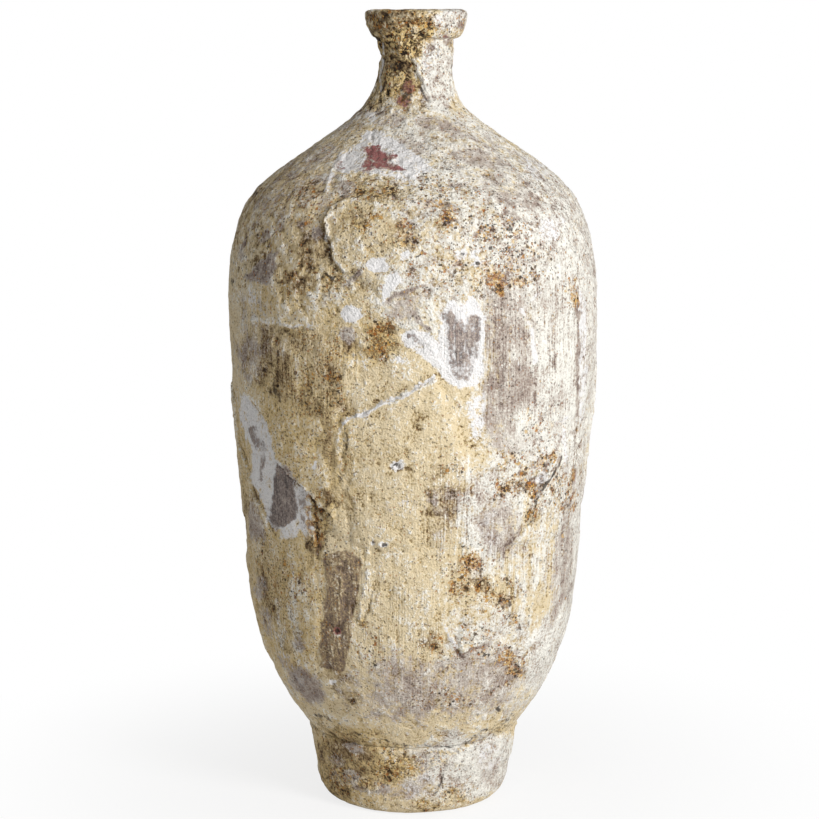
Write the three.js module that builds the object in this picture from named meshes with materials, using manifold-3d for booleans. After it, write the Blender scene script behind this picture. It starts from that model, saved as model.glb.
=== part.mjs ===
// Clay water bottle: thrown clay rings luted one on another, coated with trowelled slabs of lime plaster.
// Millimetres, +Z up. The origin is the middle of the face that the bottle stands on, and the front faces -Y.
import * as THREE from "three";
import { mergeVertices } from "three/addons/utils/BufferGeometryUtils.js";
import Module from "manifold-3d";

// Foot ring and floor
const FOOT_TOP_RADIUS = 56;
const FOOT_HEIGHT = 40;
const FOOT_TAPER = 4; // how much narrower the side is at its bottom, above the bevel
const FOOT_BEVEL_WIDTH = 9;
const FOOT_BEVEL_HEIGHT = 14;
const FOOT_WALL = 6.5;
const STANDING_WIDTH = 7; // of the ring that touches the table
const LEDGE_HEIGHT = 3; // of the ledge that the floor lies on
const BASE_THICKNESS = 12;

// Outside of the wall, station by station: the rise above the station below, the radius, and the slope,
// which is the radius gained for each millimetre climbed
const FOOT_TOP_SLOPE = 0.77;
const HIP_RISE = 46;
const HIP_RADIUS = 80.5;
const HIP_SLOPE = 0.29;
const LOWER_JOINT_RISE = 62;
const LOWER_JOINT_RADIUS = 89.6;
const LOWER_JOINT_SLOPE = 0.06;
const BELLY_RISE = 114;
const BELLY_RADIUS = 97.1;
const BELLY_SLOPE = 0.02;
const TURN_RISE = 42;
const TURN_INSET = 4; // how much narrower than the belly
const TURN_SLOPE = -0.25;
const SHOULDER_RISE = 23;
const SHOULDER_RADIUS = 82.6;
const SHOULDER_SLOPE = -0.82;
const CONE_RISE = 23;
const CONE_RADIUS = 53.3;
const CONE_SLOPE = -1.46;
const NECK_ROOT_RISE = 24;
const NECK_ROOT_RADIUS = 24;
const NECK_ROOT_SLOPE = -0.55;
const NECK_WAIST_RISE = 18;
const NECK_WAIST_RADIUS = 18.7;
const NECK_TOP_RISE = 13;
const NECK_TOP_RADIUS = 19.5;
const NECK_TOP_SLOPE = 0.12;

// Lip
const LIP_HEIGHT = 15;
const LIP_OVERHANG = 4.5; // how far its underside stands out from the neck
const LIP_UNDER_RISE = 1.5;
const LIP_FLARE = 3;
const LIP_EDGE = 2;
const MOUTH_FLARE = 2.5; // how much wider the mouth is than the neck's bore

// Walls, luted joints and coat
const BODY_WALL = 8;
const NECK_WALL = 5.5;
const TONGUE_DEPTH = 2.5; // how far the ring above keys into the ring below
const LUTE = 0.3; // slip between two rings
const SEAT_CLEARANCE = 0.3; // between a piece and what carries it
const COAT_THICKNESS = 1.5;
const COAT_JOINT_MARGIN = 1; // the coat stops this far from a luted joint
const CRUST_DROP = 8; // how far the crust under the lip runs down the neck

// Facets
const FACETS = 40;
const BEVEL_STEPS = 4;
const WEDGE_LAYERS = [0.85, 1.1, 16]; // times the radius of the wall

const wasm = await Module();
wasm.setup();

const footSideRadius = FOOT_TOP_RADIUS - FOOT_TAPER;
const footStandingRadius = footSideRadius - FOOT_BEVEL_WIDTH;
const footBoreRadius = footSideRadius - FOOT_WALL;
const ledgeRadius = footStandingRadius - STANDING_WIDTH;
const neckHeight = NECK_WAIST_RISE + NECK_TOP_RISE;
const lipUnderRadius = NECK_TOP_RADIUS + LIP_OVERHANG;
const lipRadius = lipUnderRadius + LIP_FLARE;
const mouthRadius = NECK_TOP_RADIUS - NECK_WALL + MOUTH_FLARE;

// The places of the luted joints, from the foot up
const lowerRingBase = FOOT_HEIGHT;
const middleRingBase = lowerRingBase + HIP_RISE + LOWER_JOINT_RISE;
const shoulderBase = middleRingBase + BELLY_RISE;
const neckBase = shoulderBase + TURN_RISE + SHOULDER_RISE + CONE_RISE + NECK_ROOT_RISE;
const lipBase = neckBase + neckHeight;

const station = (rise, radius, slope) => ({ rise, radius, slope });
const footTop = station(0, FOOT_TOP_RADIUS, FOOT_TOP_SLOPE);
const lowerJoint = station(0, LOWER_JOINT_RADIUS, LOWER_JOINT_SLOPE);
const belly = station(0, BELLY_RADIUS, BELLY_SLOPE);
const neckRoot = station(0, NECK_ROOT_RADIUS, NECK_ROOT_SLOPE);
const footSideSlope = FOOT_TAPER / (FOOT_HEIGHT - FOOT_BEVEL_HEIGHT);

// Each course is one clay ring: where it stands, the stations of its outside, its wall at the bottom and top,
// and how many facets each span has from bottom to top.
const COURSES = {
  foot: {
    base: 0,
    stations: [
      station(FOOT_BEVEL_HEIGHT, footSideRadius, footSideSlope),
      station(FOOT_HEIGHT - FOOT_BEVEL_HEIGHT, FOOT_TOP_RADIUS, footSideSlope),
    ],
    walls: [BODY_WALL, BODY_WALL],
    spans: [1],
  },
  lower: {
    base: lowerRingBase,
    stations: [
      footTop,
      station(HIP_RISE, HIP_RADIUS, HIP_SLOPE),
      station(LOWER_JOINT_RISE, LOWER_JOINT_RADIUS, LOWER_JOINT_SLOPE),
    ],
    walls: [BODY_WALL, BODY_WALL],
    spans: [4, 2],
  },
  middle: {
    base: middleRingBase,
    stations: [lowerJoint, station(BELLY_RISE, BELLY_RADIUS, BELLY_SLOPE)],
    walls: [BODY_WALL, BODY_WALL],
    spans: [3],
  },
  shoulder: {
    base: shoulderBase,
    stations: [
      belly,
      station(TURN_RISE, BELLY_RADIUS - TURN_INSET, TURN_SLOPE),
      station(SHOULDER_RISE, SHOULDER_RADIUS, SHOULDER_SLOPE),
      station(CONE_RISE, CONE_RADIUS, CONE_SLOPE),
      station(NECK_ROOT_RISE, NECK_ROOT_RADIUS, NECK_ROOT_SLOPE),
    ],
    walls: [BODY_WALL, NECK_WALL],
    spans: [2, 2, 2, 3],
  },
  neck: {
    base: neckBase,
    stations: [
      neckRoot,
      station(NECK_WAIST_RISE, NECK_WAIST_RADIUS, 0),
      station(NECK_TOP_RISE, NECK_TOP_RADIUS, NECK_TOP_SLOPE),
    ],
    walls: [NECK_WALL, NECK_WALL],
    spans: [3, 1],
  },
};

// The heights of a course's stations above its base.
function stationHeights(course) {
  let height = 0;
  return course.stations.map((s) => (height += s.rise));
}

// The heights above a course's base at which its wall has an edge.
function edgeHeights(course) {
  const heights = stationHeights(course);
  const edges = [heights[0]];
  course.spans.forEach((steps, i) => {
    for (let k = 1; k <= steps; k++) edges.push(THREE.MathUtils.lerp(heights[i], heights[i + 1], k / steps));
  });
  return edges;
}

// The outside of a course at a height above its base: a cubic from station to station.
function outside(course, height) {
  const heights = stationHeights(course);
  let i = 0;
  while (i < heights.length - 2 && height > heights[i + 1]) i++;
  const [low, high] = [course.stations[i], course.stations[i + 1]];
  const span = heights[i + 1] - heights[i];
  const t = (height - heights[i]) / span;
  const u = 1 - t;
  const radius =
    (1 + 2 * t) * u * u * low.radius +
    t * u * u * span * low.slope +
    t * t * (3 - 2 * t) * high.radius -
    t * t * u * span * high.slope;
  const slope =
    (6 * t * u * (high.radius - low.radius)) / span +
    u * (1 - 3 * t) * low.slope +
    t * (3 * t - 2) * high.slope;
  return { radius, slope };
}

// The wall's thickness at a height above the course's base.
function wallAt(course, height) {
  const heights = stationHeights(course);
  return THREE.MathUtils.mapLinear(height, heights[0], heights[heights.length - 1], ...course.walls);
}

// A point of the wall's section: at a height, a depth below the outside and a step up along the wall.
function wallPoint(course, height, depth, along) {
  const { radius, slope } = outside(course, height);
  const length = Math.hypot(1, slope);
  return new THREE.Vector2(
    radius + (along * slope - depth) / length,
    height + (along + depth * slope) / length,
  );
}

// The three points of a luted joint, from the outside in: the middle one is the tip of the tongue.
function jointLine(course, height, along) {
  const wall = wallAt(course, height);
  return [
    wallPoint(course, height, 0, along),
    wallPoint(course, height, wall / 2, along - TONGUE_DEPTH),
    wallPoint(course, height, wall, along),
  ];
}

// A solid of revolution from a section of points (radius, height) that runs anticlockwise.
function turned(points) {
  const section = points[0].x === 0 ? points : [...points, points[0]];
  return new THREE.LatheGeometry(section, FACETS).rotateX(Math.PI / 2);
}

// A clay ring with a tongue under it and a groove on top.
function ringGeometry(course) {
  const edges = edgeHeights(course);
  const [bottom, top] = [edges[0], edges[edges.length - 1]];
  const between = edges.slice(1, -1);
  const section = [
    ...between.map((h) => wallPoint(course, h, 0, 0)),
    ...jointLine(course, top, -LUTE / 2),
    ...between.reverse().map((h) => wallPoint(course, h, wallAt(course, h), 0)),
    ...jointLine(course, bottom, LUTE / 2).reverse(),
  ];
  return turned(section);
}

// The foot: a bevelled ring with a ledge inside for the floor and a groove on top for the lower ring.
function footGeometry() {
  const bevel = [];
  for (let k = 0; k <= BEVEL_STEPS; k++) {
    const a = ((Math.PI / 2) * k) / BEVEL_STEPS;
    const radius = footStandingRadius + (footSideRadius - footStandingRadius) * Math.sin(a);
    bevel.push(new THREE.Vector2(radius, FOOT_BEVEL_HEIGHT * (1 - Math.cos(a))));
  }
  const groove = jointLine(COURSES.lower, 0, -LUTE / 2);
  groove.forEach((p) => (p.y += FOOT_HEIGHT));
  return turned([
    new THREE.Vector2(ledgeRadius, 0),
    ...bevel,
    ...groove,
    new THREE.Vector2(footBoreRadius, FOOT_HEIGHT),
    new THREE.Vector2(footBoreRadius, LEDGE_HEIGHT),
    new THREE.Vector2(ledgeRadius, LEDGE_HEIGHT),
  ]);
}

// The floor: a disc that lies on the foot's ledge.
function baseGeometry() {
  const radius = footBoreRadius - SEAT_CLEARANCE;
  const under = LEDGE_HEIGHT + SEAT_CLEARANCE;
  return turned([
    new THREE.Vector2(0, under),
    new THREE.Vector2(radius, under),
    new THREE.Vector2(radius, under + BASE_THICKNESS),
    new THREE.Vector2(0, under + BASE_THICKNESS),
  ]);
}

// The lip: a flared collar keyed on the neck, with a flat top round the mouth.
function lipGeometry() {
  const key = jointLine(COURSES.neck, neckHeight, LUTE / 2);
  key.forEach((p) => (p.y -= neckHeight));
  return turned([
    new THREE.Vector2(lipUnderRadius, LIP_UNDER_RISE),
    new THREE.Vector2(lipRadius, LIP_HEIGHT - LIP_EDGE),
    new THREE.Vector2(lipRadius - LIP_EDGE, LIP_HEIGHT),
    new THREE.Vector2(mouthRadius + LIP_EDGE, LIP_HEIGHT),
    new THREE.Vector2(mouthRadius, LIP_HEIGHT - LIP_EDGE),
    ...key.reverse(),
  ]);
}

// A closed geometry as a solid that can be cut.
function solidOf(geometry) {
  const bare = geometry.clone();
  bare.deleteAttribute("normal");
  bare.deleteAttribute("uv");
  const merged = mergeVertices(bare);
  const vertProperties = merged.getAttribute("position").array;
  const triVerts = new Uint32Array(merged.index.array);
  return new wasm.Manifold(new wasm.Mesh({ numProp: 3, vertProperties, triVerts }));
}

function geometryOf(solid) {
  const { vertProperties, triVerts } = solid.getMesh();
  const geometry = new THREE.BufferGeometry();
  geometry.setAttribute("position", new THREE.BufferAttribute(vertProperties, 3));
  geometry.setIndex(new THREE.BufferAttribute(triVerts, 1));
  return geometry;
}

// A wedge with an outline of points (degrees round from the front, height) that cuts through a course's coat.
// It has a layer of points under the coat, one just over it and one far out, where the straight cap is clear.
function wedge(outline, radiusAt) {
  const flat = outline.map(([degrees, height]) => new THREE.Vector2(degrees, height));
  const contour = THREE.ShapeUtils.isClockWise(flat) ? flat.reverse() : flat;
  const count = contour.length;
  const positions = WEDGE_LAYERS.flatMap((layer) =>
    contour.flatMap(({ x, y }) => {
      const angle = THREE.MathUtils.degToRad(x);
      const radius = layer * radiusAt(y);
      return [radius * Math.sin(angle), -radius * Math.cos(angle), y];
    }),
  );
  const index = [];
  const cap = (WEDGE_LAYERS.length - 1) * count;
  for (const [a, b, c] of THREE.ShapeUtils.triangulateShape(contour, [])) {
    index.push(a + cap, b + cap, c + cap, c, b, a);
  }
  for (let layer = 0; layer < cap; layer += count) {
    for (let i = 0; i < count; i++) {
      const [a, b] = [layer + i, layer + ((i + 1) % count)];
      index.push(a, b, b + count, a, b + count, a + count);
    }
  }
  const geometry = new THREE.BufferGeometry();
  geometry.setAttribute("position", new THREE.Float32BufferAttribute(positions, 3));
  geometry.setIndex(index);
  return geometry;
}

// The whole coat round a course, as a shell that follows the wall's facets.
function coatShell(course) {
  const edges = edgeHeights(course);
  const last = edges.length - 1;
  const margins = edges.map((_, i) => (i === 0 ? COAT_JOINT_MARGIN : i === last ? -COAT_JOINT_MARGIN : 0));
  const layer = (lift) => edges.map((h, i) => wallPoint(course, h, -lift, margins[i]));
  const inner = layer(SEAT_CLEARANCE);
  const outer = layer(SEAT_CLEARANCE + COAT_THICKNESS);
  return turned([...outer, ...inner.reverse()]);
}

// The ring of crust that fills the corner under the lip.
function crustRing() {
  const neckSide = (height) => wallPoint(COURSES.neck, height, -SEAT_CLEARANCE, 0);
  const underLip = new THREE.Vector2(lipUnderRadius, neckHeight + LIP_UNDER_RISE - SEAT_CLEARANCE);
  const corner = neckSide(neckHeight);
  corner.y -= SEAT_CLEARANCE;
  return turned([neckSide(neckHeight - CRUST_DROP), underLip, corner]);
}

// Outlines of the coat slabs on each course: degrees round from the front, positive to the right,
// and percent of the way up the course's side.
const underCrust = 100 * (1 - (CRUST_DROP + COAT_JOINT_MARGIN) / neckHeight);
const SLABS = {
  foot: {
    coat_foot_left: [
      [-76, 23], [-57, 23], [-32, 35], [-7, 42], [12, 19], [12, 85], [-7, 88], [-45, 85], [-72, 85],
    ],
    coat_foot_right: [[18, 12], [58, 8], [90, 15], [84, 88], [56, 92], [16, 85]],
    coat_foot_back: [[130, 15], [190, 12], [240, 19], [236, 77], [200, 88], [150, 81]],
  },
  lower: {
    coat_hip_left: [
      [-58, 97], [-64, 74], [-64, 56], [-60, 35], [-50, 27], [-39, 30], [-37, 45], [-33, 57], [-30, 79],
      [-34, 97],
    ],
    coat_hip_front: [
      [-6, 95], [-10, 79], [-14, 61], [-19, 39], [-16, 34], [-5, 35], [4, 41], [9, 54], [12, 66],
      [13, 80], [22, 90],
      [19, 97], [5, 97],
    ],
    coat_hip_wedge: [[16, 75], [14, 63], [17, 53], [24, 57], [33, 66], [41, 78], [26, 80]],
    coat_hip_right: [[44, 89], [48, 61], [44, 41], [52, 28], [66, 37], [72, 65], [68, 93], [58, 96]],
    coat_hip_back_right: [[90, 19], [120, 11], [140, 37], [138, 74], [116, 93], [92, 81], [82, 48]],
    coat_hip_back: [[156, 28], [186, 13], [210, 28], [214, 65], [190, 91], [162, 83], [150, 56]],
    coat_hip_back_left: [[226, 83], [224, 37], [244, 15], [270, 22], [286, 46], [284, 81], [256, 96]],
  },
  middle: {
    coat_belly_front: [
      [-21, 63], [-22, 36], [-21, 5], [-3, 4], [21, 5], [24, 25], [17, 47], [15, 60], [10, 74], [7, 83],
      [-4, 75],
    ],
    coat_belly_left: [
      [-60, 96], [-64, 83], [-64, 68], [-56, 64], [-50, 53], [-48, 42], [-39, 32], [-32, 25], [-25, 19],
      [-25, 49],
      [-23, 67], [-18, 75], [-16, 89], [-22, 96],
    ],
    coat_belly_far_left: [
      [-110, 5], [-52, 5], [-58, 15], [-64, 22], [-69, 32], [-77, 42], [-78, 61], [-95, 70], [-112, 53],
    ],
    coat_belly_right: [[25, 93], [24, 58], [34, 44], [44, 46], [53, 56], [66, 54], [72, 70], [70, 93]],
    coat_belly_right_low: [
      [31, 3], [67, 3], [70, 17], [69, 40], [62, 50], [53, 49], [46, 37], [42, 21], [37, 9],
    ],
    coat_belly_back_right: [
      [84, 11], [100, 5], [128, 12], [136, 42], [130, 74], [112, 91], [92, 86], [80, 53],
    ],
    coat_belly_back: [
      [144, 18], [170, 7], [196, 12], [208, 35], [200, 68], [182, 84], [160, 77], [146, 53],
    ],
    coat_belly_back_left: [
      [212, 74], [216, 32], [226, 7], [244, 4], [243, 53], [246, 75], [240, 93], [222, 95],
    ],
  },
  shoulder: {
    coat_shoulder_front: [
      [-28, 56], [-30, 48], [-26, 39], [-21, 27], [-13, 21], [-5, 15], [2, 17], [9, 23], [16, 33],
      [18, 42], [14, 53],
      [4, 61], [-9, 63], [-17, 62],
    ],
    coat_shoulder_left: [
      [-57, 4], [-40, 4], [-35, 11], [-32, 30], [-33, 41], [-34, 49], [-32, 56], [-39, 65], [-58, 69],
      [-72, 62],
      [-78, 39], [-72, 14],
    ],
    coat_shoulder_right: [
      [24, 57], [22, 38], [25, 24], [33, 15], [45, 4], [64, 4], [66, 27], [64, 45], [58, 55], [45, 62],
    ],
    coat_shoulder_top: [[8, 75], [30, 79], [52, 75], [60, 86], [40, 95], [16, 94], [6, 86]],
    coat_shoulder_back_right: [[100, 18], [130, 9], [160, 16], [172, 39], [150, 59], [120, 62], [98, 46]],
    coat_shoulder_back_left: [
      [190, 11], [216, 5], [240, 12], [258, 30], [262, 52], [236, 64], [206, 59], [188, 36],
    ],
    coat_shoulder_back_top: [[150, 75], [190, 71], [230, 77], [240, 88], [190, 95], [150, 89]],
  },
  neck: {
    coat_neck_right: [
      [-14, underCrust], [-2, 52], [10, 29], [12, 10], [30, 6], [80, 13], [100, 39], [96, 87], [74, 94],
      [36, 94],
      [34, underCrust],
    ],
  },
};
const CRUST_ARC = [-140, 25]; // degrees round from the front

// An outline with heights above the course's base in place of percents.
function outlineHeights(course, outline) {
  const heights = stationHeights(course);
  const [bottom, top] = [heights[0], heights[heights.length - 1]];
  return outline.map(([degrees, percent]) => [degrees, THREE.MathUtils.lerp(bottom, top, percent / 100)]);
}

function clay(color) {
  return new THREE.MeshStandardMaterial({ color, roughness: 0.95, metalness: 0 });
}
const bareClay = () => clay(0x8f807c);
const limeCoat = () => clay(0xcbb990);
const ochreCrust = () => clay(0x9c8150);

function piece(name, geometry, material) {
  const mesh = new THREE.Mesh(geometry, material);
  mesh.name = name;
  return mesh;
}

// A group that stands at a course's base and holds its clay ring and its coat slabs.
function courseGroup(name, base, ...meshes) {
  const group = new THREE.Group();
  group.position.z = base;
  group.add(...meshes);
  if (name in SLABS) {
    const course = COURSES[name];
    const shell = solidOf(coatShell(course));
    for (const [slabName, outline] of Object.entries(SLABS[name])) {
      const cutter = wedge(outlineHeights(course, outline), (height) => outside(course, height).radius);
      const slab = shell.intersect(solidOf(cutter));
      group.add(piece(slabName, geometryOf(slab), limeCoat()));
    }
  }
  return group;
}

function lipCrust() {
  const [left, right] = CRUST_ARC;
  const top = neckHeight + LIP_HEIGHT;
  const arc = wedge([[left, 0], [right, 0], [right, top], [left, top]], () => NECK_WAIST_RADIUS);
  const crust = solidOf(crustRing()).intersect(solidOf(arc));
  return piece("crust_under_lip", geometryOf(crust), ochreCrust());
}

const bottle = new THREE.Group();
bottle.add(
  courseGroup(
    "foot",
    COURSES.foot.base,
    piece("foot_ring", footGeometry(), bareClay()),
    piece("base_disc", baseGeometry(), bareClay()),
  ),
  courseGroup("lower", lowerRingBase, piece("lower_ring", ringGeometry(COURSES.lower), bareClay())),
  courseGroup("middle", middleRingBase, piece("middle_ring", ringGeometry(COURSES.middle), bareClay())),
  courseGroup("shoulder", shoulderBase, piece("shoulder_ring", ringGeometry(COURSES.shoulder), bareClay())),
  courseGroup("neck", neckBase, piece("neck_tube", ringGeometry(COURSES.neck), bareClay()), lipCrust()),
  courseGroup("lip", lipBase, piece("lip_collar", lipGeometry(), bareClay())),
);

export default bottle;
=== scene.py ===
"""Clay water bottle: worn clay rings, the slabs of lime coat on them, and the stage they stand on.

Tables are in millimetres and degrees, and meshes in metres. Degrees run round the bottle from the front,
positive to the right. Marks of paint, wear and trowel are placed by the pixels of an 819 x 819 picture
taken by the stage's camera.
"""

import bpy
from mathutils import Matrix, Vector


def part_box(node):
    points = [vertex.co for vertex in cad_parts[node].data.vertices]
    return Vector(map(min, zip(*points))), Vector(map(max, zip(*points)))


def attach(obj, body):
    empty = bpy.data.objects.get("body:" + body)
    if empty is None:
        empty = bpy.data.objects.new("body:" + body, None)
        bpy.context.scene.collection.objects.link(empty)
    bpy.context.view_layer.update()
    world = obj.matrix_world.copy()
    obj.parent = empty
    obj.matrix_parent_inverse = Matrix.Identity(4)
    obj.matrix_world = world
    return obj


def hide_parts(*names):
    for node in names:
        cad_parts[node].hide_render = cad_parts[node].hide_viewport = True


bl_info = {
    "name": "Clay Water Bottle",
    "version": (1, 0, 0),
    "blender": (4, 5, 0),
    "location": "3D View > Sidebar > Clay Bottle",
    "description": "Builds a worn, lime-coated clay water bottle on its solids",
    "category": "Add Mesh",
}

import math

import bpy
import numpy as np
from bpy.props import FloatProperty, FloatVectorProperty, IntProperty, PointerProperty
from bpy.types import Operator, Panel, PropertyGroup

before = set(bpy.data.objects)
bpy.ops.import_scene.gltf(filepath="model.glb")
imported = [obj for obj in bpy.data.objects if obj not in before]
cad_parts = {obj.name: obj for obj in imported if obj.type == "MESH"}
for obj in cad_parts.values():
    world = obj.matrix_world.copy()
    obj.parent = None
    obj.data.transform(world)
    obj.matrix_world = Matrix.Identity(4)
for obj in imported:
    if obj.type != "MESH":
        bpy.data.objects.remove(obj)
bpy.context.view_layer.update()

MM = 0.001

# Shape of the bottle

# Height, radius and slope of the side at each station, from the top of the foot to the lip.
STATIONS = np.array([
    (40, 56, 0.77), (86, 80.5, 0.29), (148, 89.6, 0.06), (262, 97.1, 0.02), (304, 93.1, -0.25),
    (327, 82.6, -0.82), (350, 53.3, -1.46), (374, 24, -0.55), (392, 18.7, 0), (405, 19.5, 0.12),
])
FOOT_TOP, LOWER_JOINT, UPPER_JOINT, NECK_ROOT, NECK_TOP = 40, 148, 262, 374, 405
BODY_WALL, NECK_WALL = 8, 5.5
# The foot's bevel, as a quarter of an ellipse: its width and height, then the standing face's two radii.
BEVEL_WIDTH, BEVEL_HEIGHT, STANDING_RADIUS, STANDING_INNER = 9, 14, 43, 36
# The foot's bore, a height half-way up it, and the height of the ledge in it.
FOOT_BORE, BORE_MIDDLE, LEDGE_HEIGHT = 45.5, 22, 3
LIP_SECTION = [(19.5, 405), (24, 406.5), (27, 418), (25, 420), (18.5, 420), (16.5, 418), (14, 405)]
# How far the axis leans to the right at each height, as hand-thrown work does.
LEAN_HEIGHTS, LEAN_SHIFTS = (0, 60, 260, 330, 374, 392, 420), (-0.6, 0, 0, -0.6, 0.6, 1.3, 1.3)

# Side heights of each course, and the outlines of its slabs: degrees and percent of the way up.
COURSES = {
    "foot": (14, 40), "lower": (40, 148), "middle": (148, 262), "shoulder": (262, 374), "neck": (374, 405),
}
SLABS = {
    "foot": {
        "coat_foot_left": [(-76, 23), (-57, 23), (-32, 35), (-7, 42), (12, 19), (12, 85), (-7, 88), (-45, 85),
                           (-72, 85)],
        "coat_foot_right": [(18, 12), (58, 8), (90, 15), (84, 88), (56, 92), (16, 85)],
        "coat_foot_back": [(130, 15), (190, 12), (240, 19), (236, 77), (200, 88), (150, 81)],
    },
    "lower": {
        "coat_hip_left": [(-58, 97), (-64, 74), (-64, 56), (-60, 35), (-50, 27), (-39, 30), (-37, 45),
                          (-33, 57), (-30, 79), (-34, 97)],
        "coat_hip_front": [(-6, 95), (-10, 79), (-14, 61), (-19, 39), (-16, 34), (-5, 35), (4, 41), (9, 54),
                           (12, 66), (13, 80), (22, 90), (19, 97), (5, 97)],
        "coat_hip_wedge": [(16, 75), (14, 63), (17, 53), (24, 57), (33, 66), (41, 78), (26, 80)],
        "coat_hip_right": [(44, 89), (48, 61), (44, 41), (52, 28), (66, 37), (72, 65), (68, 93), (58, 96)],
        "coat_hip_back_right": [(90, 19), (120, 11), (140, 37), (138, 74), (116, 93), (92, 81), (82, 48)],
        "coat_hip_back": [(156, 28), (186, 13), (210, 28), (214, 65), (190, 91), (162, 83), (150, 56)],
        "coat_hip_back_left": [(226, 83), (224, 37), (244, 15), (270, 22), (286, 46), (284, 81), (256, 96)],
    },
    "middle": {
        "coat_belly_front": [(-21, 63), (-22, 36), (-21, 5), (-3, 4), (21, 5), (24, 25), (17, 47), (15, 60),
                             (10, 74), (7, 83), (-4, 75)],
        "coat_belly_left": [(-60, 96), (-64, 83), (-64, 68), (-56, 64), (-50, 53), (-48, 42), (-39, 32),
                            (-32, 25), (-25, 19), (-25, 49), (-23, 67), (-18, 75), (-16, 89), (-22, 96)],
        "coat_belly_far_left": [(-110, 5), (-52, 5), (-58, 15), (-64, 22), (-69, 32), (-77, 42), (-78, 61),
                                (-95, 70), (-112, 53)],
        "coat_belly_right": [(25, 93), (24, 58), (34, 44), (44, 46), (53, 56), (66, 54), (72, 70), (70, 93)],
        "coat_belly_right_low": [(31, 3), (67, 3), (70, 17), (69, 40), (62, 50), (53, 49), (46, 37),
                                 (42, 21), (37, 9)],
        "coat_belly_back_right": [(84, 11), (100, 5), (128, 12), (136, 42), (130, 74), (112, 91), (92, 86),
                                  (80, 53)],
        "coat_belly_back": [(144, 18), (170, 7), (196, 12), (208, 35), (200, 68), (182, 84), (160, 77),
                            (146, 53)],
        "coat_belly_back_left": [(212, 74), (216, 32), (226, 7), (244, 4), (243, 53), (246, 75), (240, 93),
                                 (222, 95)],
    },
    "shoulder": {
        "coat_shoulder_front": [(-28, 56), (-30, 48), (-26, 39), (-21, 27), (-13, 21), (-5, 15), (2, 17),
                                (9, 23), (16, 33), (18, 42), (14, 53), (4, 61), (-9, 63), (-17, 62)],
        "coat_shoulder_left": [(-57, 4), (-40, 4), (-35, 11), (-32, 30), (-33, 41), (-34, 49), (-32, 56),
                               (-39, 65), (-58, 69), (-72, 62), (-78, 39), (-72, 14)],
        "coat_shoulder_right": [(24, 57), (22, 38), (25, 24), (33, 15), (45, 4), (64, 4), (66, 27), (64, 45),
                                (58, 55), (45, 62)],
        "coat_shoulder_top": [(8, 75), (30, 79), (52, 75), (60, 86), (40, 95), (16, 94), (6, 86)],
        "coat_shoulder_back_right": [(100, 18), (130, 9), (160, 16), (172, 39), (150, 59), (120, 62),
                                     (98, 46)],
        "coat_shoulder_back_left": [(190, 11), (216, 5), (240, 12), (258, 30), (262, 52), (236, 64),
                                    (206, 59), (188, 36)],
        "coat_shoulder_back_top": [(150, 75), (190, 71), (230, 77), (240, 88), (190, 95), (150, 89)],
    },
    "neck": {
        "coat_neck_right": [(-14, 71), (-2, 52), (10, 29), (12, 10), (30, 6), (80, 13), (100, 39), (96, 87),
                            (74, 94), (36, 94), (34, 71)],
    },
}
# Slabs with a broken edge: how thick they stand, and which way that edge faces (0 right, 90 up).
BROKEN_EDGES = {
    "coat_shoulder_front": (1.7, 170), "coat_belly_left": (1.8, 225), "coat_belly_front": (1.7, 100),
    "coat_belly_far_left": (1.3, 30), "coat_hip_wedge": (1.6, 250), "coat_belly_right_low": (1.5, 150),
    "coat_neck_right": (0.9, 200), "coat_belly_back": (1.6, 140),
    "coat_hip_back_left": (1.4, 250), "coat_shoulder_back_right": (1.6, 200),
    "coat_belly_back_right": (1.5, 320),
}
# Thickness of the other slabs, how far a slab's rim dives under the clay, and how deep its back lies.
FEATHERED_THICKNESS, SLAB_DIVE, SLAB_BACK = 0.6, 0.9, 1.1
# How wide a slab's edge is where it is feathered and where it is broken.
FEATHERED_EDGE, BROKEN_EDGE = 9, 0.8
# A slab's grid reaches past its corners by the first, and stops short of its course's joints by the second.
SLAB_MARGIN, JOINT_MARGIN = 3, 0.4
# The crust's arc in degrees, how far it hangs down the neck, and the deepest that its face may sink.
CRUST_ARC, CRUST_DROP, CRUST_SINK = (-140, 25), 11, 3.4
# Where the crust is thickest, and how far that spreads, in degrees.
CRUST_THICKEST, CRUST_SPREAD = -25, 32
# How far the floor's rounded edge reaches in, and the radius of the small ring at its middle.
FLOOR_EDGE, POLE_RADIUS = 1.2, 0.02

# Marks on the surface

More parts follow.
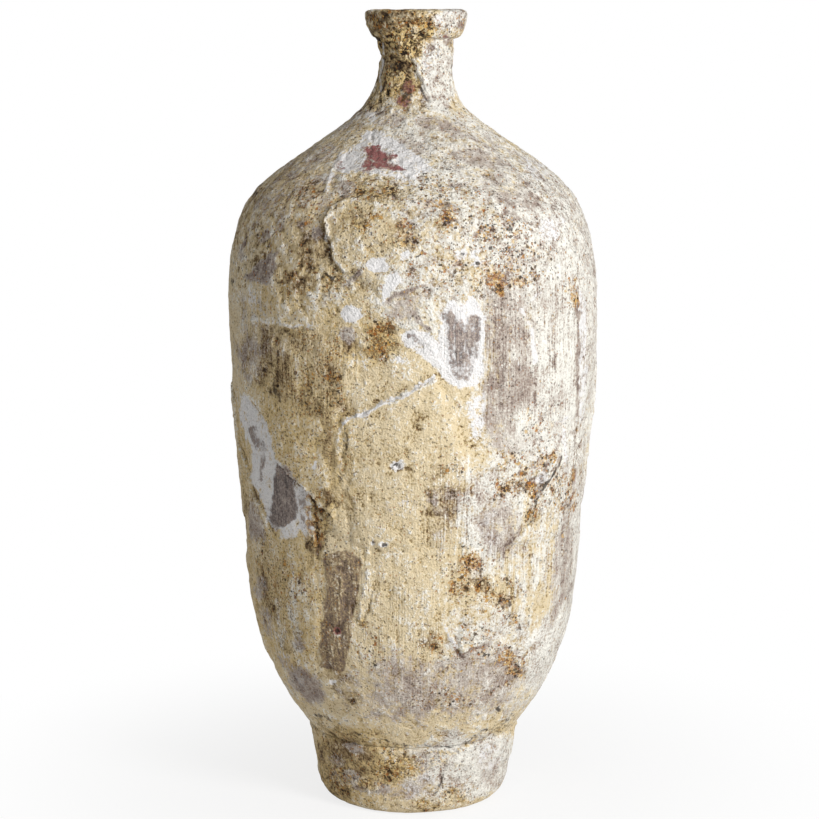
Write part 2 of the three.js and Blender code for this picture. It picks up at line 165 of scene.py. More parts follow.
# Spots are (x, y, half width, half height, turn in degrees, amount).
# Patches are (points, amount). Strokes are (points, half width, amount).
# Bare clay, where the coat has worn off.
MAUVE = {
    "spots": [
        (316, 230, 7, 6, -30, 0.76), (265, 237, 5, 8, 25, 0.6), (243, 250, 3, 12, 8, 0.55),
        (348, 188, 10, 12, 0, 0.5), (250, 360, 16, 28, 0, 0.46), (338, 165, 6, 6, -40, 0.8),
        (403, 149, 24, 13, 0, 0.48), (472, 156, 26, 9, 8, 0.56), (506, 203, 20, 15, 10, 0.5),
        (526, 196, 18, 14, 30, 0.46), (510, 216, 12, 8, 0, 0.52), (497, 304, 13, 10, 0, 0.5),
        (447, 214, 9, 10, 0, 0.45), (404, 308, 16, 14, 0, 0.56), (499, 342, 17, 36, 0, 0.58),
        (509, 385, 28, 30, 0, 0.64), (523, 389, 12, 20, 0, 0.6), (497, 418, 16, 22, 0, 0.52),
        (508, 440, 20, 16, 0, 0.42), (434, 500, 6, 6, 0, 0.5), (441, 512, 24, 44, 0, 0.3),
        (452, 478, 10, 16, 0, 0.3), (486, 517, 7, 9, 0, 0.62), (500, 530, 22, 26, 0, 0.48),
        (387, 507, 9, 8, 0, 0.42), (394, 684, 26, 36, 0, 0.54), (422, 690, 22, 34, 0, 0.52),
        (490, 678, 34, 34, 0, 0.52), (450, 700, 40, 18, 0, 0.46), (306, 684, 13, 24, -35, 0.74),
        (288, 664, 8, 14, -35, 0.5), (260, 588, 8, 14, 0, 0.5), (268, 622, 8, 16, -15, 0.42),
        (300, 644, 8, 9, 0, 0.5), (354, 747, 10, 5, 15, 0.62), (345, 776, 15, 9, 15, 0.62),
        (372, 786, 24, 7, 10, 0.56), (336, 760, 10, 9, 0, 0.46), (416, 786, 20, 10, 0, 0.44),
        (488, 765, 12, 14, 0, 0.42), (397, 795, 20, 6, 10, 0.46), (447, 40, 5, 6, 0, 0.64),
        (440, 22, 4, 5, 0, 0.5), (460, 26, 3, 4, 0, 0.55), (440, 125, 26, 9, 15, 0.5),
        (390, 118, 20, 8, -15, 0.42), (352, 120, 26, 12, -25, 0.42), (258, 330, 20, 60, 0, 0.3),
        (312, 360, 16, 28, 0, 0.22), (331, 396, 16, 22, 0, 0.2), (284, 350, 10, 18, 0, 0.3),
        (348, 335, 10, 10, 0, 0.72), (256, 522, 9, 26, -8, 0.52), (545, 300, 12, 16, 0, 0.36),
        (536, 470, 16, 20, 0, 0.3), (300, 196, 60, 44, -38, 0.34), (480, 160, 50, 26, 28, 0.3),
        (512, 330, 28, 70, 0, 0.44), (430, 690, 100, 36, 0, 0.36),
    ],
    "patches": [
        ([(280, 246), (278, 263), (272, 280), (266, 286), (250, 281), (243, 277), (255, 268),
          (267, 257)], 0.84),
        ([(441, 313), (450, 309), (457, 319), (467, 323), (471, 316), (479, 320), (479, 360), (471, 379),
          (460, 383), (450, 374), (447, 360), (443, 340)], 0.92),
        ([(277, 464), (289, 470), (296, 479), (299, 501), (297, 519), (285, 526), (279, 529), (271, 518),
          (272, 509), (274, 491)], 1.25),
        ([(577, 466), (574, 520), (572, 560), (568, 600), (556, 628), (546, 632), (549, 590), (556, 545),
          (564, 500), (569, 470)], 0.46),
        ([(322, 552), (345, 550), (364, 556), (360, 580), (354, 610), (348, 640), (342, 668), (330, 674),
          (320, 662), (325, 620), (326, 590)], 0.12),
    ],
    "strokes": [
        ([(262, 210), (300, 172), (330, 148)], 7, 0.44), ([(275, 226), (318, 186), (340, 168)], 6, 0.42),
        ([(250, 228), (285, 190)], 5, 0.4), ([(383, 304), (394, 296), (424, 287)], 1.8, 0.8),
        ([(411, 313), (421, 324), (429, 330)], 2.4, 0.78), ([(344, 287), (361, 273)], 2.4, 0.75),
        ([(480, 319), (499, 316)], 1.4, 0.75), ([(578, 285), (578, 416)], 1.8, 0.8),
        ([(409, 336), (423, 346)], 3, 0.9), ([(254, 429), (257, 440), (263, 451)], 4.5, 0.9),
        ([(262, 455), (261, 480)], 2.4, 0.85), ([(303, 493), (304, 528)], 4, 0.8),
    ],
}
# Lavender white slip, round the bare clay and in flecks, with painted highlight on a few raised rims.
SLIP = {
    "spots": [
        (404, 256, 5, 5, 0, 0.85), (351, 314, 10, 7, 0, 1.5), (427, 167, 6, 5, 0, 0.75),
        (407, 183, 8, 5, 0, 0.65), (347, 161, 13, 9, -15, 1.0), (398, 466, 7, 6, 0, 0.8),
        (386, 546, 4, 4, 0, 0.7), (374, 543, 4, 3.5, 0, 0.6), (462, 254, 7, 6, 0, 0.75),
        (475, 253, 5, 6, 0, 0.7), (477, 262, 7, 5, 0, 0.75), (315, 466, 3.5, 5, 0, 0.9),
        (331, 684, 4, 3, 0, 0.9), (549, 230, 13, 13, 0, 0.62), (558, 224, 9, 7, 10, 0.58),
        (476, 418, 9, 24, 0, 0.66), (540, 477, 7, 7, 0, 0.6), (416, 784, 22, 12, 0, 0.36),
        (488, 758, 14, 16, 0, 0.42), (286, 660, 4, 14, -30, 0.4), (371, 117, 6, 5, 0, 0.75),
        (300, 678, 3, 11, -35, 0.5), (535, 170, 14, 8, 35, 0.42), (583, 350, 4, 60, 0, 0.5),
        (398, 360, 5, 4, 0, 0.6), (441, 18, 5, 4, 0, 0.55), (452, 12, 8, 3, 0, 0.5),
        (250, 300, 5, 14, 0, 0.42), (490, 530, 14, 24, 0, 0.36), (432, 62, 9, 20, 0, 0.4),
    ],
    "patches": [
        ([(240, 393), (246, 396), (257, 406), (263, 414), (269, 427), (273, 440), (274, 454), (280, 463),
          (293, 477), (310, 493), (309, 501), (313, 520), (316, 537), (306, 537), (299, 530), (290, 539),
          (283, 537), (277, 527), (269, 517), (261, 499), (254, 486), (251, 474), (252, 447), (246, 441),
          (241, 427), (239, 409)], 0.82),
        ([(441, 316), (450, 299), (457, 309), (466, 306), (471, 296), (477, 304), (483, 319), (482, 373),
          (477, 383), (460, 389), (449, 383), (437, 369), (427, 359), (413, 350), (401, 340), (401, 333),
          (416, 329), (429, 333), (437, 344), (439, 330)], 0.95),
        ([(335, 168), (339, 155), (346, 149), (358, 141), (365, 130), (385, 132), (400, 142), (412, 150),
          (424, 160), (428, 170), (412, 180), (398, 178), (383, 174), (369, 172), (345, 173)], 0.8),
        ([(368, 263), (374, 256), (384, 257), (389, 264), (387, 269), (379, 271), (371, 269)], 1.5),
        ([(389, 274), (397, 273), (401, 284), (394, 290), (383, 301), (382, 294)], 1.5),
    ],
    "strokes": [
        # This stroke whitens the front slab's raised top ridge: partly white slip, partly painted highlight.
        ([(343, 423), (349, 418), (366, 413), (379, 407), (393, 400), (409, 396), (434, 375)], 2.0, 0.85),
        ([(521, 309), (531, 327), (534, 345)], 1.8, 0.8), ([(534, 345), (536, 363)], 2.6, 0.9),
        ([(523, 306), (541, 293)], 1.6, 0.6), ([(517, 358), (521, 369)], 1.6, 0.7),
        ([(581, 290), (582, 420)], 2, 0.6), ([(443, 625), (456, 646), (464, 649)], 2, 0.6),
        # These two strokes whiten the rim of the shoulder slab's broken left edge: painted highlight.
        ([(345, 149), (333, 170), (328, 192)], 2.2, 0.6), ([(353, 200), (326, 219), (331, 245)], 2, 0.45),
        ([(369, 171), (383, 174), (397, 177), (411, 178)], 2, 0.75),
        # This stroke whitens the ledge at the left: painted highlight.
        ([(255, 320), (275, 324), (290, 326), (318, 325)], 1.6, 0.6),
        ([(553, 424), (566, 417), (579, 424)], 1.6, 0.5), ([(391, 360), (394, 400)], 1.2, 0.5),
        ([(359, 332), (367, 384)], 1.3, 0.5), ([(340, 428), (338, 448), (341, 470)], 1.8, 0.5),
        ([(562, 430), (566, 470)], 2.4, 0.4), ([(383, 44), (383, 58), (382, 72), (380, 92)], 1.2, 0.66),
    ],
}
# Burnt red clay.
WINE = {
    "spots": [
        (446, 39, 5, 5, 0, 0.46), (409, 88, 7, 11, 0, 0.6), (404, 102, 9, 8, 0, 0.62),
        (337, 629, 4, 4, 0, 0.95), (340, 166, 5, 5, -40, 0.42), (463, 326, 6, 8, 0, 0.34),
        (454, 332, 5, 10, 0, 0.26), (352, 338, 5, 7, 0, 0.36), (576, 478, 3, 12, 0, 0.42),
        (398, 228, 9, 8, 0, 0.3), (320, 540, 5, 14, 12, 0.4), (386, 506, 5, 4, 0, 0.36),
    ],
    "patches": [
        ([(360, 146), (379, 144), (381, 151), (397, 154), (399, 157), (391, 163), (404, 171), (401, 174),
          (389, 173), (376, 169), (369, 171), (361, 172), (360, 169), (364, 164), (366, 154)], 0.8),
    ],
}
# Clusters of rusty grit.
RUST = {
    "spots": [
        (358, 221, 4, 8, 0, 0.95), (367, 221, 4, 5, 0, 0.8), (380, 193, 24, 7, 0, 0.62),
        (398, 226, 12, 12, 0, 0.56), (445, 220, 9, 15, 0, 0.8), (404, 242, 10, 8, 0, 0.62),
        (378, 244, 14, 5, 0, 0.56), (572, 294, 6, 14, 0, 0.8), (330, 282, 9, 10, 0, 0.5),
        (506, 281, 34, 10, -6, 0.64), (526, 281, 8, 6, 0, 0.72), (509, 229, 7, 6, 0, 0.62),
        (543, 256, 12, 6, 0, 0.5), (490, 268, 20, 8, 0, 0.52), (382, 338, 17, 19, 0, 0.72),
        (525, 484, 14, 12, 0, 0.95), (504, 489, 11, 10, 0, 0.8), (548, 462, 9, 9, 0, 0.9),
        (555, 485, 6, 9, 20, 0.85), (534, 512, 4, 12, 12, 0.9), (571, 488, 5, 22, 8, 0.85),
        (562, 514, 4, 10, 15, 0.75), (515, 462, 18, 12, 0, 0.5), (545, 485, 24, 28, 0, 0.44),
        (467, 566, 13, 13, 0, 0.85), (457, 584, 7, 8, 0, 0.8), (477, 584, 9, 10, 0, 0.85),
        (485, 569, 6, 6, 0, 0.7), (470, 575, 22, 28, 0, 0.52), (491, 597, 9, 7, 0, 0.95),
        (511, 583, 10, 5, 0, 0.62), (510, 621, 8, 9, 0, 0.7), (499, 604, 12, 8, 0, 0.8),
        (514, 664, 10, 14, 0, 0.85), (497, 660, 4, 14, 0, 0.85), (492, 695, 7, 7, 0, 0.8),
        (434, 647, 11, 6, 0, 0.9), (418, 643, 5, 4, 0, 0.85), (460, 655, 20, 10, 0, 0.42),
        (480, 640, 24, 20, 0, 0.44), (363, 618, 8, 7, 0, 0.62), (355, 695, 6, 5, 0, 0.52),
        (396, 770, 26, 11, 0, 0.66), (368, 781, 10, 5, 0, 0.66), (456, 795, 11, 8, 0, 0.66),
        (427, 805, 9, 6, 0, 0.66), (315, 385, 24, 30, 0, 0.5), (338, 377, 6, 7, 0, 0.76),
        (330, 350, 14, 14, 0, 0.52), (300, 345, 18, 14, 0, 0.46), (290, 282, 14, 8, 0, 0.42),
        (300, 440, 26, 40, 0, 0.16), (320, 205, 26, 24, 0, 0.42), (480, 225, 30, 16, 0, 0.42),
        (520, 250, 30, 18, 0, 0.4), (430, 262, 36, 24, 0, 0.36), (430, 195, 36, 16, 0, 0.4),
        (290, 590, 26, 30, 0, 0.36), (370, 650, 16, 26, 0, 0.38), (450, 462, 12, 12, 0, 0.52),
        (360, 90, 10, 10, 0, 0.5), (340, 780, 18, 16, 0, 0.5), (268, 560, 16, 24, 0, 0.4),
        (540, 420, 20, 16, 0, 0.42), (556, 540, 12, 20, 0, 0.3), (440, 700, 30, 14, 0, 0.42),
        (462, 111, 7, 5, 0, 0.5), (325, 640, 14, 20, 0, 0.3), (438, 70, 14, 34, 0, 0.22),
        (398, 41, 27, 18, 0, 0.28), (398, 20, 42, 11, 0, 0.5), (392, 84, 8, 14, 0, 0.4),
        (407, 93, 10, 16, 0, 0.5), (455, 20, 14, 10, 0, 0.4),
    ],
    "strokes": [
        ([(311, 494), (316, 523), (324, 551)], 5, 0.85), ([(559, 477), (551, 491)], 3, 0.8),
        ([(408, 212), (404, 250)], 4, 0.52), ([(316, 730), (350, 746), (398, 756), (450, 757)], 3, 0.5),
    ],
}
# Black in pits, cracks and smears, and a painted shadow at a broken slab edge.
SOOT = {
    "spots": [
        (384, 17, 14, 7, 0, 0.56), (404, 17, 14, 6, 0, 0.5), (372, 34, 5, 8, -30, 0.58),
        (375, 14, 9, 5, 0, 0.52), (392, 16, 12, 5, 0, 0.46), (424, 12, 12, 4, 0, 0.42),
        # The first spot on the next line darkens the strip under the ledge at the left.
        (282, 332, 7, 3.5, 12, 0.62), (276, 388, 3.5, 10, -8, 0.78), (340, 480, 3, 7, 0, 0.7),
        (330, 494, 14, 8, 0, 0.36), (398, 465, 2.6, 2.6, 0, 1.0), (374, 543, 2.2, 2.2, 0, 0.9),
        (386, 546, 2.4, 2.4, 0, 1.0), (378, 551, 1.8, 1.8, 0, 0.9), (404, 551, 1.8, 1.8, 0, 0.9),
        (405, 583, 2, 2, 0, 0.95), (337, 629, 2.6, 2.6, 0, 0.95), (462, 254, 3.4, 3.2, 0, 0.75),
        (475, 252, 2.2, 2.4, 0, 0.8), (477, 262, 3, 2.6, 0, 0.75), (481, 247, 2, 2, 0, 0.8),
        (491, 249, 2, 2, 0, 0.85), (496, 253, 2, 1.8, 0, 0.75), (522, 240, 2.4, 2.2, 0, 0.7),
        (509, 229, 3, 3, 0, 0.66), (340, 377, 4, 4, 0, 0.64), (507, 487, 5, 4, 0, 0.6),
        (527, 488, 5, 5, 0, 0.62), (549, 464, 4, 4, 0, 0.56), (508, 605, 6, 5, 0, 0.6),
        (516, 668, 4, 5, 0, 0.6), (499, 710, 3, 3, 0, 0.8), (514, 622, 6, 8, 0, 0.5),
        (263, 584, 6, 6, 0, 0.5), (388, 775, 10, 6, 0, 0.5), (330, 798, 14, 8, 18, 0.6),
        (437, 789, 4, 6, 20, 0.5), (255, 193, 4, 3, 0, 0.7), (233, 282, 2, 6, 0, 0.6),
        (394, 341, 4, 4, 0, 0.6), (368, 350, 5, 3, 0, 0.55), (386, 352, 5, 3, 0, 0.5),
        (407, 94, 8, 15, 0, 0.56), (380, 100, 6, 4, -30, 0.5), (370, 106, 5, 4, -30, 0.55),
    ],
    "patches": [
        ([(385, 45), (394, 46), (400, 54), (410, 58), (411, 71), (398, 73), (387, 70), (390, 58)], 0.52),
    ],
    "strokes": [
        ([(320, 284), (325, 273), (332, 281), (337, 274)], 1.6, 0.75), ([(332, 281), (330, 298)], 1.5, 0.7),
        ([(410, 57), (416, 74), (421, 89), (428, 102)], 1.5, 0.74),
        ([(437, 378), (447, 393), (456, 409)], 1.0, 0.6), ([(400, 471), (414, 464), (426, 459)], 0.9, 0.6),
        ([(418, 514), (423, 542), (428, 564)], 0.8, 0.56), ([(277, 352), (278, 377)], 1.4, 0.62),
        ([(280, 392), (280, 402)], 2, 0.62), ([(292, 405), (292, 426)], 1.4, 0.66),
        ([(344, 424), (347, 436), (346, 450), (344, 466)], 1.2, 0.7), ([(340, 474), (343, 487)], 2.0, 0.7),
        ([(560, 456), (557, 467), (551, 477), (543, 487), (537, 497), (536, 510), (533, 519),
          (526, 527)], 1.6, 0.76),
        ([(493, 553), (506, 563), (521, 573)], 0.8, 0.52),
        ([(353, 501), (359, 530), (365, 559)], 0.9, 0.48),
        ([(367, 12), (400, 10), (440, 10), (465, 12)], 1.3, 0.52), ([(424, 284), (438, 283)], 1.3, 0.56),
        ([(446, 280), (458, 285)], 1.2, 0.56), ([(441, 772), (442, 786), (434, 796)], 1.4, 0.7),
        # This stroke darkens the foot of the shoulder slab's broken left edge: painted shadow.
        ([(330, 202), (322, 222), (330, 247)], 1.2, 0.5),
        ([(314, 714), (346, 731), (398, 744), (454, 745), (500, 724), (516, 711)], 1.2, 0.6),
        ([(366, 571), (356, 612)], 0.9, 0.54), ([(378, 570), (367, 612)], 0.9, 0.5),
        ([(468, 550), (470, 592)], 1, 0.42), ([(496, 650), (496, 672)], 1.2, 0.52),
        ([(576, 466), (571, 491), (563, 510)], 1.6, 0.56), ([(355, 344), (354, 382)], 1.0, 0.5),
    ],
}
# Grey-white pale mark, mostly on the right: thin lime wash, and painted highlight where the light falls
# strongest.
PALE = {
    "spots": [
        (545, 330, 70, 190, 0, 0.66), (580, 570, 30, 120, 0, 0.66), (490, 515, 36, 60, 0, 0.56),
        (480, 210, 100, 60, 10, 0.46), (450, 145, 90, 40, 20, 0.46), (425, 290, 54, 44, 0, 0.46),
        (500, 660, 60, 60, 0, 0.5), (430, 610, 40, 40, 0, 0.22), (546, 228, 30, 28, 30, 0.8),
        (562, 340, 28, 80, 0, 0.7), (552, 430, 22, 34, 0, 0.55), (530, 560, 30, 44, 0, 0.37),
        (545, 650, 20, 50, 20, 0.66), (438, 76, 16, 38, 0, 0.95), (452, 18, 16, 12, 0, 0.75),
        (488, 762, 30, 28, 0, 0.85), (480, 300, 20, 24, 0, 0.35), (520, 170, 40, 20, 35, 0.5),
        (400, 312, 22, 22, 0, 0.4), (488, 240, 24, 16, 0, 0.4), (480, 625, 26, 20, -30, 0.2),
        (590, 300, 12, 120, 0, 0.7), (575, 560, 14, 80, 0, 0.66), (440, 130, 30, 16, 10, 0.4),
        (455, 758, 45, 24, 0, 0.75), (440, 788, 40, 14, 0, 0.5), (470, 785, 30, 14, 0, 0.55),
        (384, 118, 20, 8, 0, 0.3), (250, 300, 16, 30, 0, 0.26), (290, 690, 16, 16, 0, 0.3),
    ],
    "strokes": [
        ([(292, 560), (296, 650)], 6, 0.3), ([(275, 600), (282, 660)], 5, 0.28),
    ],
}
# Brown stain in the coat.
STAIN = {
    "spots": [
        (285, 205, 66, 66, -30, 0.5), (310, 185, 9, 8, 0, 0.79), (312, 250, 18, 22, 0, 0.9),
        (300, 282, 26, 9, 0, 1.01), (264, 266, 14, 16, -30, 0.97), (330, 282, 12, 12, 0, 0.79),
        (347, 190, 14, 14, 0, 0.7), (360, 221, 12, 12, 0, 0.62), (396, 228, 18, 13, 0, 0.74),
        (447, 220, 16, 17, 0, 0.66), (506, 203, 20, 15, 10, 0.79), (470, 235, 24, 14, 0, 0.5),
        (380, 195, 28, 8, 0, 0.6), (404, 245, 14, 9, 0, 0.7), (430, 215, 60, 30, 0, 0.34),
        # The first spot on the next line darkens the strip under the ledge at the left.
        (280, 332, 30, 10, 5, 0.79), (256, 360, 18, 34, 0, 0.7), (283, 380, 12, 28, 0, 0.92),
        (323, 370, 18, 34, 0, 0.88), (320, 400, 30, 20, 0, 0.7), (310, 345, 34, 14, 0, 0.7),
        (378, 342, 16, 15, 0, 0.82), (352, 340, 8, 10, 0, 0.79), (330, 494, 18, 11, 0, 0.97),
        (318, 530, 8, 26, 10, 0.88), (256, 522, 12, 30, -8, 0.7), (444, 500, 22, 36, 0, 0.7),
        (436, 500, 10, 12, 0, 0.76), (452, 470, 12, 12, 0, 0.7), (526, 476, 24, 22, 0, 0.56),
        (548, 466, 14, 14, 0, 0.56), (500, 480, 20, 18, 0, 0.56), (545, 500, 18, 30, 10, 0.5),
        (468, 566, 20, 18, 0, 0.7), (477, 586, 18, 14, 0, 0.75), (495, 600, 16, 10, 0, 0.7),
        (512, 620, 10, 12, 0, 0.7), (424, 645, 16, 9, 0, 0.64), (512, 665, 14, 16, 0, 0.7),
        (480, 660, 40, 24, 0, 0.6), (494, 690, 12, 12, 0, 0.79), (345, 690, 18, 16, 0, 0.75),
        (332, 662, 15, 18, 0, 0.72), (268, 590, 22, 50, -8, 0.5), (264, 580, 8, 16, 0, 0.79),
        (290, 640, 14, 14, 0, 0.6), (352, 772, 26, 15, 0, 0.97), (345, 755, 34, 16, 10, 0.95),
        (390, 772, 24, 10, 0, 0.88), (330, 790, 20, 16, 20, 0.88), (425, 804, 16, 5, 0, 0.6),
        (455, 796, 11, 6, 0, 0.66), (394, 20, 30, 10, 0, 0.97), (398, 65, 16, 14, 0, 1.01),
        (385, 82, 10, 20, 0, 0.79), (378, 112, 14, 9, -30, 0.92), (400, 90, 14, 18, 0, 0.7),
        (407, 93, 11, 19, 0, 1.15), (412, 105, 26, 10, 0, 0.7), (398, 40, 26, 16, 0, 0.7),
        (340, 735, 40, 8, 20, 0.7),
    ],
    "patches": [
        ([(367, 12), (440, 12), (436, 24), (420, 28), (400, 26), (384, 34), (372, 34)], 1.45),
    ],
    "strokes": [
        ([(328, 418), (331, 455), (333, 500)], 6, 0.75), ([(262, 560), (266, 620)], 4, 0.8),
        ([(283, 575), (286, 640)], 3, 0.6),
    ],
}
# The brushed band at the lower left.
BAND = {
    "patches": [
        ([(324, 556), (345, 552), (362, 560), (359, 582), (354, 612), (350, 640), (345, 671), (332, 669),
          (320, 663), (322, 620), (325, 590)], 0.9),
    ],
}
# Gritty crust.
CRUST = {
    "spots": [
        (396, 19, 44, 12, 0, 0.3), (376, 34, 8, 12, 0, 0.5), (382, 339, 20, 20, 0, 0.64),
        (380, 193, 30, 9, 0, 0.62), (358, 225, 6, 12, 0, 0.62), (392, 246, 22, 7, 0, 0.5),
        (405, 236, 8, 16, 0, 0.46), (446, 216, 12, 15, 0, 0.42), (396, 770, 32, 14, 0, 0.7),
        (368, 782, 14, 7, 0, 0.62), (456, 795, 14, 9, 0, 0.62), (427, 805, 12, 6, 0, 0.62),
        (363, 618, 9, 8, 0, 0.6), (355, 695, 8, 6, 0, 0.55), (338, 378, 10, 10, 0, 0.55),
        (320, 400, 26, 20, 0, 0.45), (345, 283, 30, 12, 0, 0.44), (292, 332, 26, 10, 8, 0.5),
        (336, 780, 20, 22, 0, 0.56), (430, 760, 40, 8, 0, 0.42), (372, 98, 14, 14, -30, 0.62),
        (342, 460, 8, 16, 0, 0.5), (326, 520, 6, 30, 12, 0.62),
    ],
    "patches": [
        ([(386, 36), (400, 28), (436, 22), (432, 32), (424, 42), (423, 56), (408, 58), (396, 50),
          (388, 44)], 1.0),
        ([(389, 72), (403, 70), (405, 78), (399, 90), (392, 98), (384, 96)], 0.9),
    ],
    "strokes": [
        ([(314, 718), (346, 735), (398, 748), (454, 749), (500, 729), (516, 715)], 3, 0.5),
    ],
}
# Yellower coat, mostly on the left: partly yellowed coat, partly painted shade on the side away from the
# light.
WARM = {
    "spots": [
        (290, 440, 70, 100, 0, 0.8), (302, 446, 34, 50, 0, 1.1), (285, 600, 50, 110, -4, 0.8),
        (300, 300, 60, 50, 0, 0.7), (345, 770, 50, 50, 0, 1.1), (396, 50, 40, 60, 0, 1.1),
        (392, 24, 34, 16, 0, 1.1), (360, 340, 50, 30, 0, 0.7), (380, 560, 60, 120, 0, 0.3),
        (375, 210, 50, 40, 0, 0.5), (290, 210, 60, 70, -30, 0.6),
    ],
}
# Coat that the trowel drew out up and down.
DRAG = {
    "spots": [
        (510, 350, 40, 80, 0, 0.95), (445, 505, 34, 60, 0, 0.8), (530, 560, 60, 70, 0, 0.7),
        (560, 350, 30, 90, 0, 0.8), (400, 640, 50, 60, 10, 0.55), (345, 610, 26, 60, 10, 0.6),
        (310, 375, 50, 46, 0, 0.75), (262, 480, 30, 90, 0, 0.6), (460, 345, 20, 40, 0, 0.7),
        (290, 600, 40, 60, -6, 0.5), (470, 690, 70, 30, 0, 0.5), (256, 330, 20, 70, 0, 0.6),
        (360, 500, 26, 60, 6, 0.4), (570, 540, 20, 100, 0, 0.9),
    ],
}
MARKS = {
    "drag": DRAG, "warm": WARM, "stain": STAIN, "band": BAND, "pale": PALE, "mauve": MAUVE, "slip": SLIP,
    "wine": WINE, "crust": CRUST, "rust": RUST, "soot": SOOT,
}
# Finishes whose edges wander, and finishes that are scattered besides, with how far in pixels.
LOOSE = ("drag", "warm", "pale", "crust")
SCATTERED = {"stain": 4, "rust": 11}

# Noise that moves marks: (pixels, size of a lump in millimetres, seed), in a row across and a row down.
FRAY = ((2.4, 13, 36), (2, 6, 31), (1.4, 2.4, 32)), ((2.4, 13, 37), (2, 6, 33), (1.4, 2.4, 34))
WANDER = ((4, 11, 71), (4, 5, 72)), ((4, 11, 73), (4, 5, 74))
SCATTER = ((1, 2.6, 77),), ((1, 2.6, 78),)
TOOL_WANDER = ((1.5, 4, 51), (0.8, 2.1, 54)), ((1.5, 4, 52), (0.8, 2.1, 55))
# Noise in the clay's surface, a slab's edge, the crust and the floor: (height, size, seed) in millimetres.
CLAY_GRAIN = ((0.34, 8, 3), (0.28, 4, 4), (0.22, 2.2, 5))
RAGGED_EDGE = ((1.5, 9, 21), (1.2, 3.4, 22), (0.7, 1.8, 23))
CRUST_LUMPS = ((0.9, 5, 61), (0.7, 2.4, 62), (0.4, 1.3, 63))
FLOOR_LUMPS = ((0.5, 14, 41),)

# Coat trowelled across the joint of two slabs, given as the strokes below are.
BRIDGES = [([(342, 428), (338, 455), (337, 480), (338, 522)], 11, 1.6)]
# Trowel ridges, cracks and pits: strokes are (points, half width, rise), and pits (x, y, half width, rise),
# with the rise in millimetres.
TOOLING = [
    ([(345, 421), (362, 411), (390, 399), (415, 388), (437, 377)], 2.4, 0.9),
    ([(340, 428), (338, 449), (341, 470)], 2.0, 0.35), ([(344, 424), (347, 436), (344, 466)], 1.3, -0.7),
    ([(340, 474), (343, 487)], 2, -0.5), ([(359, 330), (363, 355), (367, 384)], 1.6, 0.4),
    ([(393, 360), (394, 399)], 1.4, 0.3), ([(443, 625), (456, 646), (464, 649)], 2, 0.6),
    ([(522, 309), (530, 332), (535, 362)], 2.2, 0.3), ([(345, 149), (333, 170), (328, 192)], 2.4, 0.7),
    ([(353, 199), (326, 219), (331, 245)], 2.4, 0.7), ([(253, 320), (272, 322), (289, 326)], 2.4, 0.8),
    ([(272, 329), (290, 332)], 3, -0.6), ([(412, 58), (425, 86), (431, 100)], 2.2, 0.7),
    ([(408, 58), (421, 86), (427, 101)], 1.4, -0.7), ([(437, 380), (448, 393), (459, 409)], 1.4, -0.7),
    ([(380, 477), (400, 470), (420, 461)], 1.2, -0.6), ([(355, 344), (354, 382)], 1.4, -0.6),
    ([(349, 495), (358, 530), (365, 559)], 1.3, -0.4), ([(356, 492), (364, 526), (371, 556)], 1.2, -0.3),
    ([(372, 480), (378, 520)], 1.2, -0.25),
    ([(561, 448), (559, 464), (553, 478), (544, 485), (538, 499), (535, 520), (525, 527)], 1.6, -0.7),
    ([(441, 772), (442, 786), (434, 796)], 1.4, -0.6), ([(362, 571), (352, 612)], 1.2, -0.8),
    ([(369, 570), (359, 618)], 1.2, 0.8), ([(377, 570), (366, 614)], 1.2, -0.8),
    ([(385, 571), (374, 612)], 1.2, 0.8), ([(350, 575), (341, 640)], 1.3, -0.6),
    ([(343, 578), (332, 650)], 1.3, 0.6), ([(486, 300), (488, 372)], 1.4, -0.35),
    ([(500, 300), (503, 376)], 1.3, -0.3), ([(512, 310), (515, 380)], 1.3, 0.25),
    ([(430, 460), (428, 540)], 1.4, -0.3), ([(446, 450), (444, 548)], 1.4, 0.25),
    ([(460, 470), (457, 556)], 1.3, -0.3), ([(310, 340), (308, 410)], 1.4, -0.3),
    ([(322, 336), (324, 414)], 1.4, 0.3), ([(400, 600), (396, 676)], 1.4, -0.3),
    ([(420, 580), (417, 640)], 1.4, 0.25), ([(550, 540), (544, 610)], 1.5, -0.3),
    ([(563, 530), (558, 600)], 1.5, 0.3), ([(300, 560), (302, 640)], 1.4, -0.3),
    ([(284, 470), (288, 520)], 1.5, -0.3), ([(314, 500), (318, 560)], 3, -0.6),
]
PITS = [
    (398, 465, 2.8, -1.6), (374, 542, 2.2, -1.1), (385, 546, 2.4, -1.4), (378, 551, 1.8, -0.8),
    (404, 551, 1.8, -1.0), (405, 583, 2, -1.1), (337, 629, 4.2, -1.8), (462, 254, 3.6, -1.3),
    (475, 252, 2.4, -1.0), (476, 262, 3, -1.0), (491, 248, 1.8, -0.8), (482, 247, 1.6, -0.7),
    (382, 339, 17, -0.5), (505, 470, 3, -0.8), (520, 484, 3, -0.8), (548, 465, 3, -0.9),
    (552, 492, 3, -0.8), (568, 505, 3, -0.7), (466, 590, 4, -0.8), (500, 602, 4, -0.9), (515, 664, 3, -0.8),
    (434, 647, 4, -0.7), (363, 618, 3, -0.7), (388, 770, 4, -0.8), (398, 62, 9, -0.9), (376, 50, 10, -1.8),
    (369, 315, 4, -0.7), (340, 377, 3, -0.7),
]

# The camera that the marks are placed by, in millimetres, degrees and pixels.
CAMERA_SIDE, CAMERA_AWAY, CAMERA_HEIGHT, CAMERA_PITCH = -2, 1200, 420, 9.942
PICTURE_SIZE, FOCAL_PIXELS = 819, 2282
SENSOR_WIDTH = 36
# Between these degrees from the front the pattern begins to drift, in pixels: down and left on the body,
# and left by less on the neck and the foot.
DRIFT_DEGREES = (89, 118)
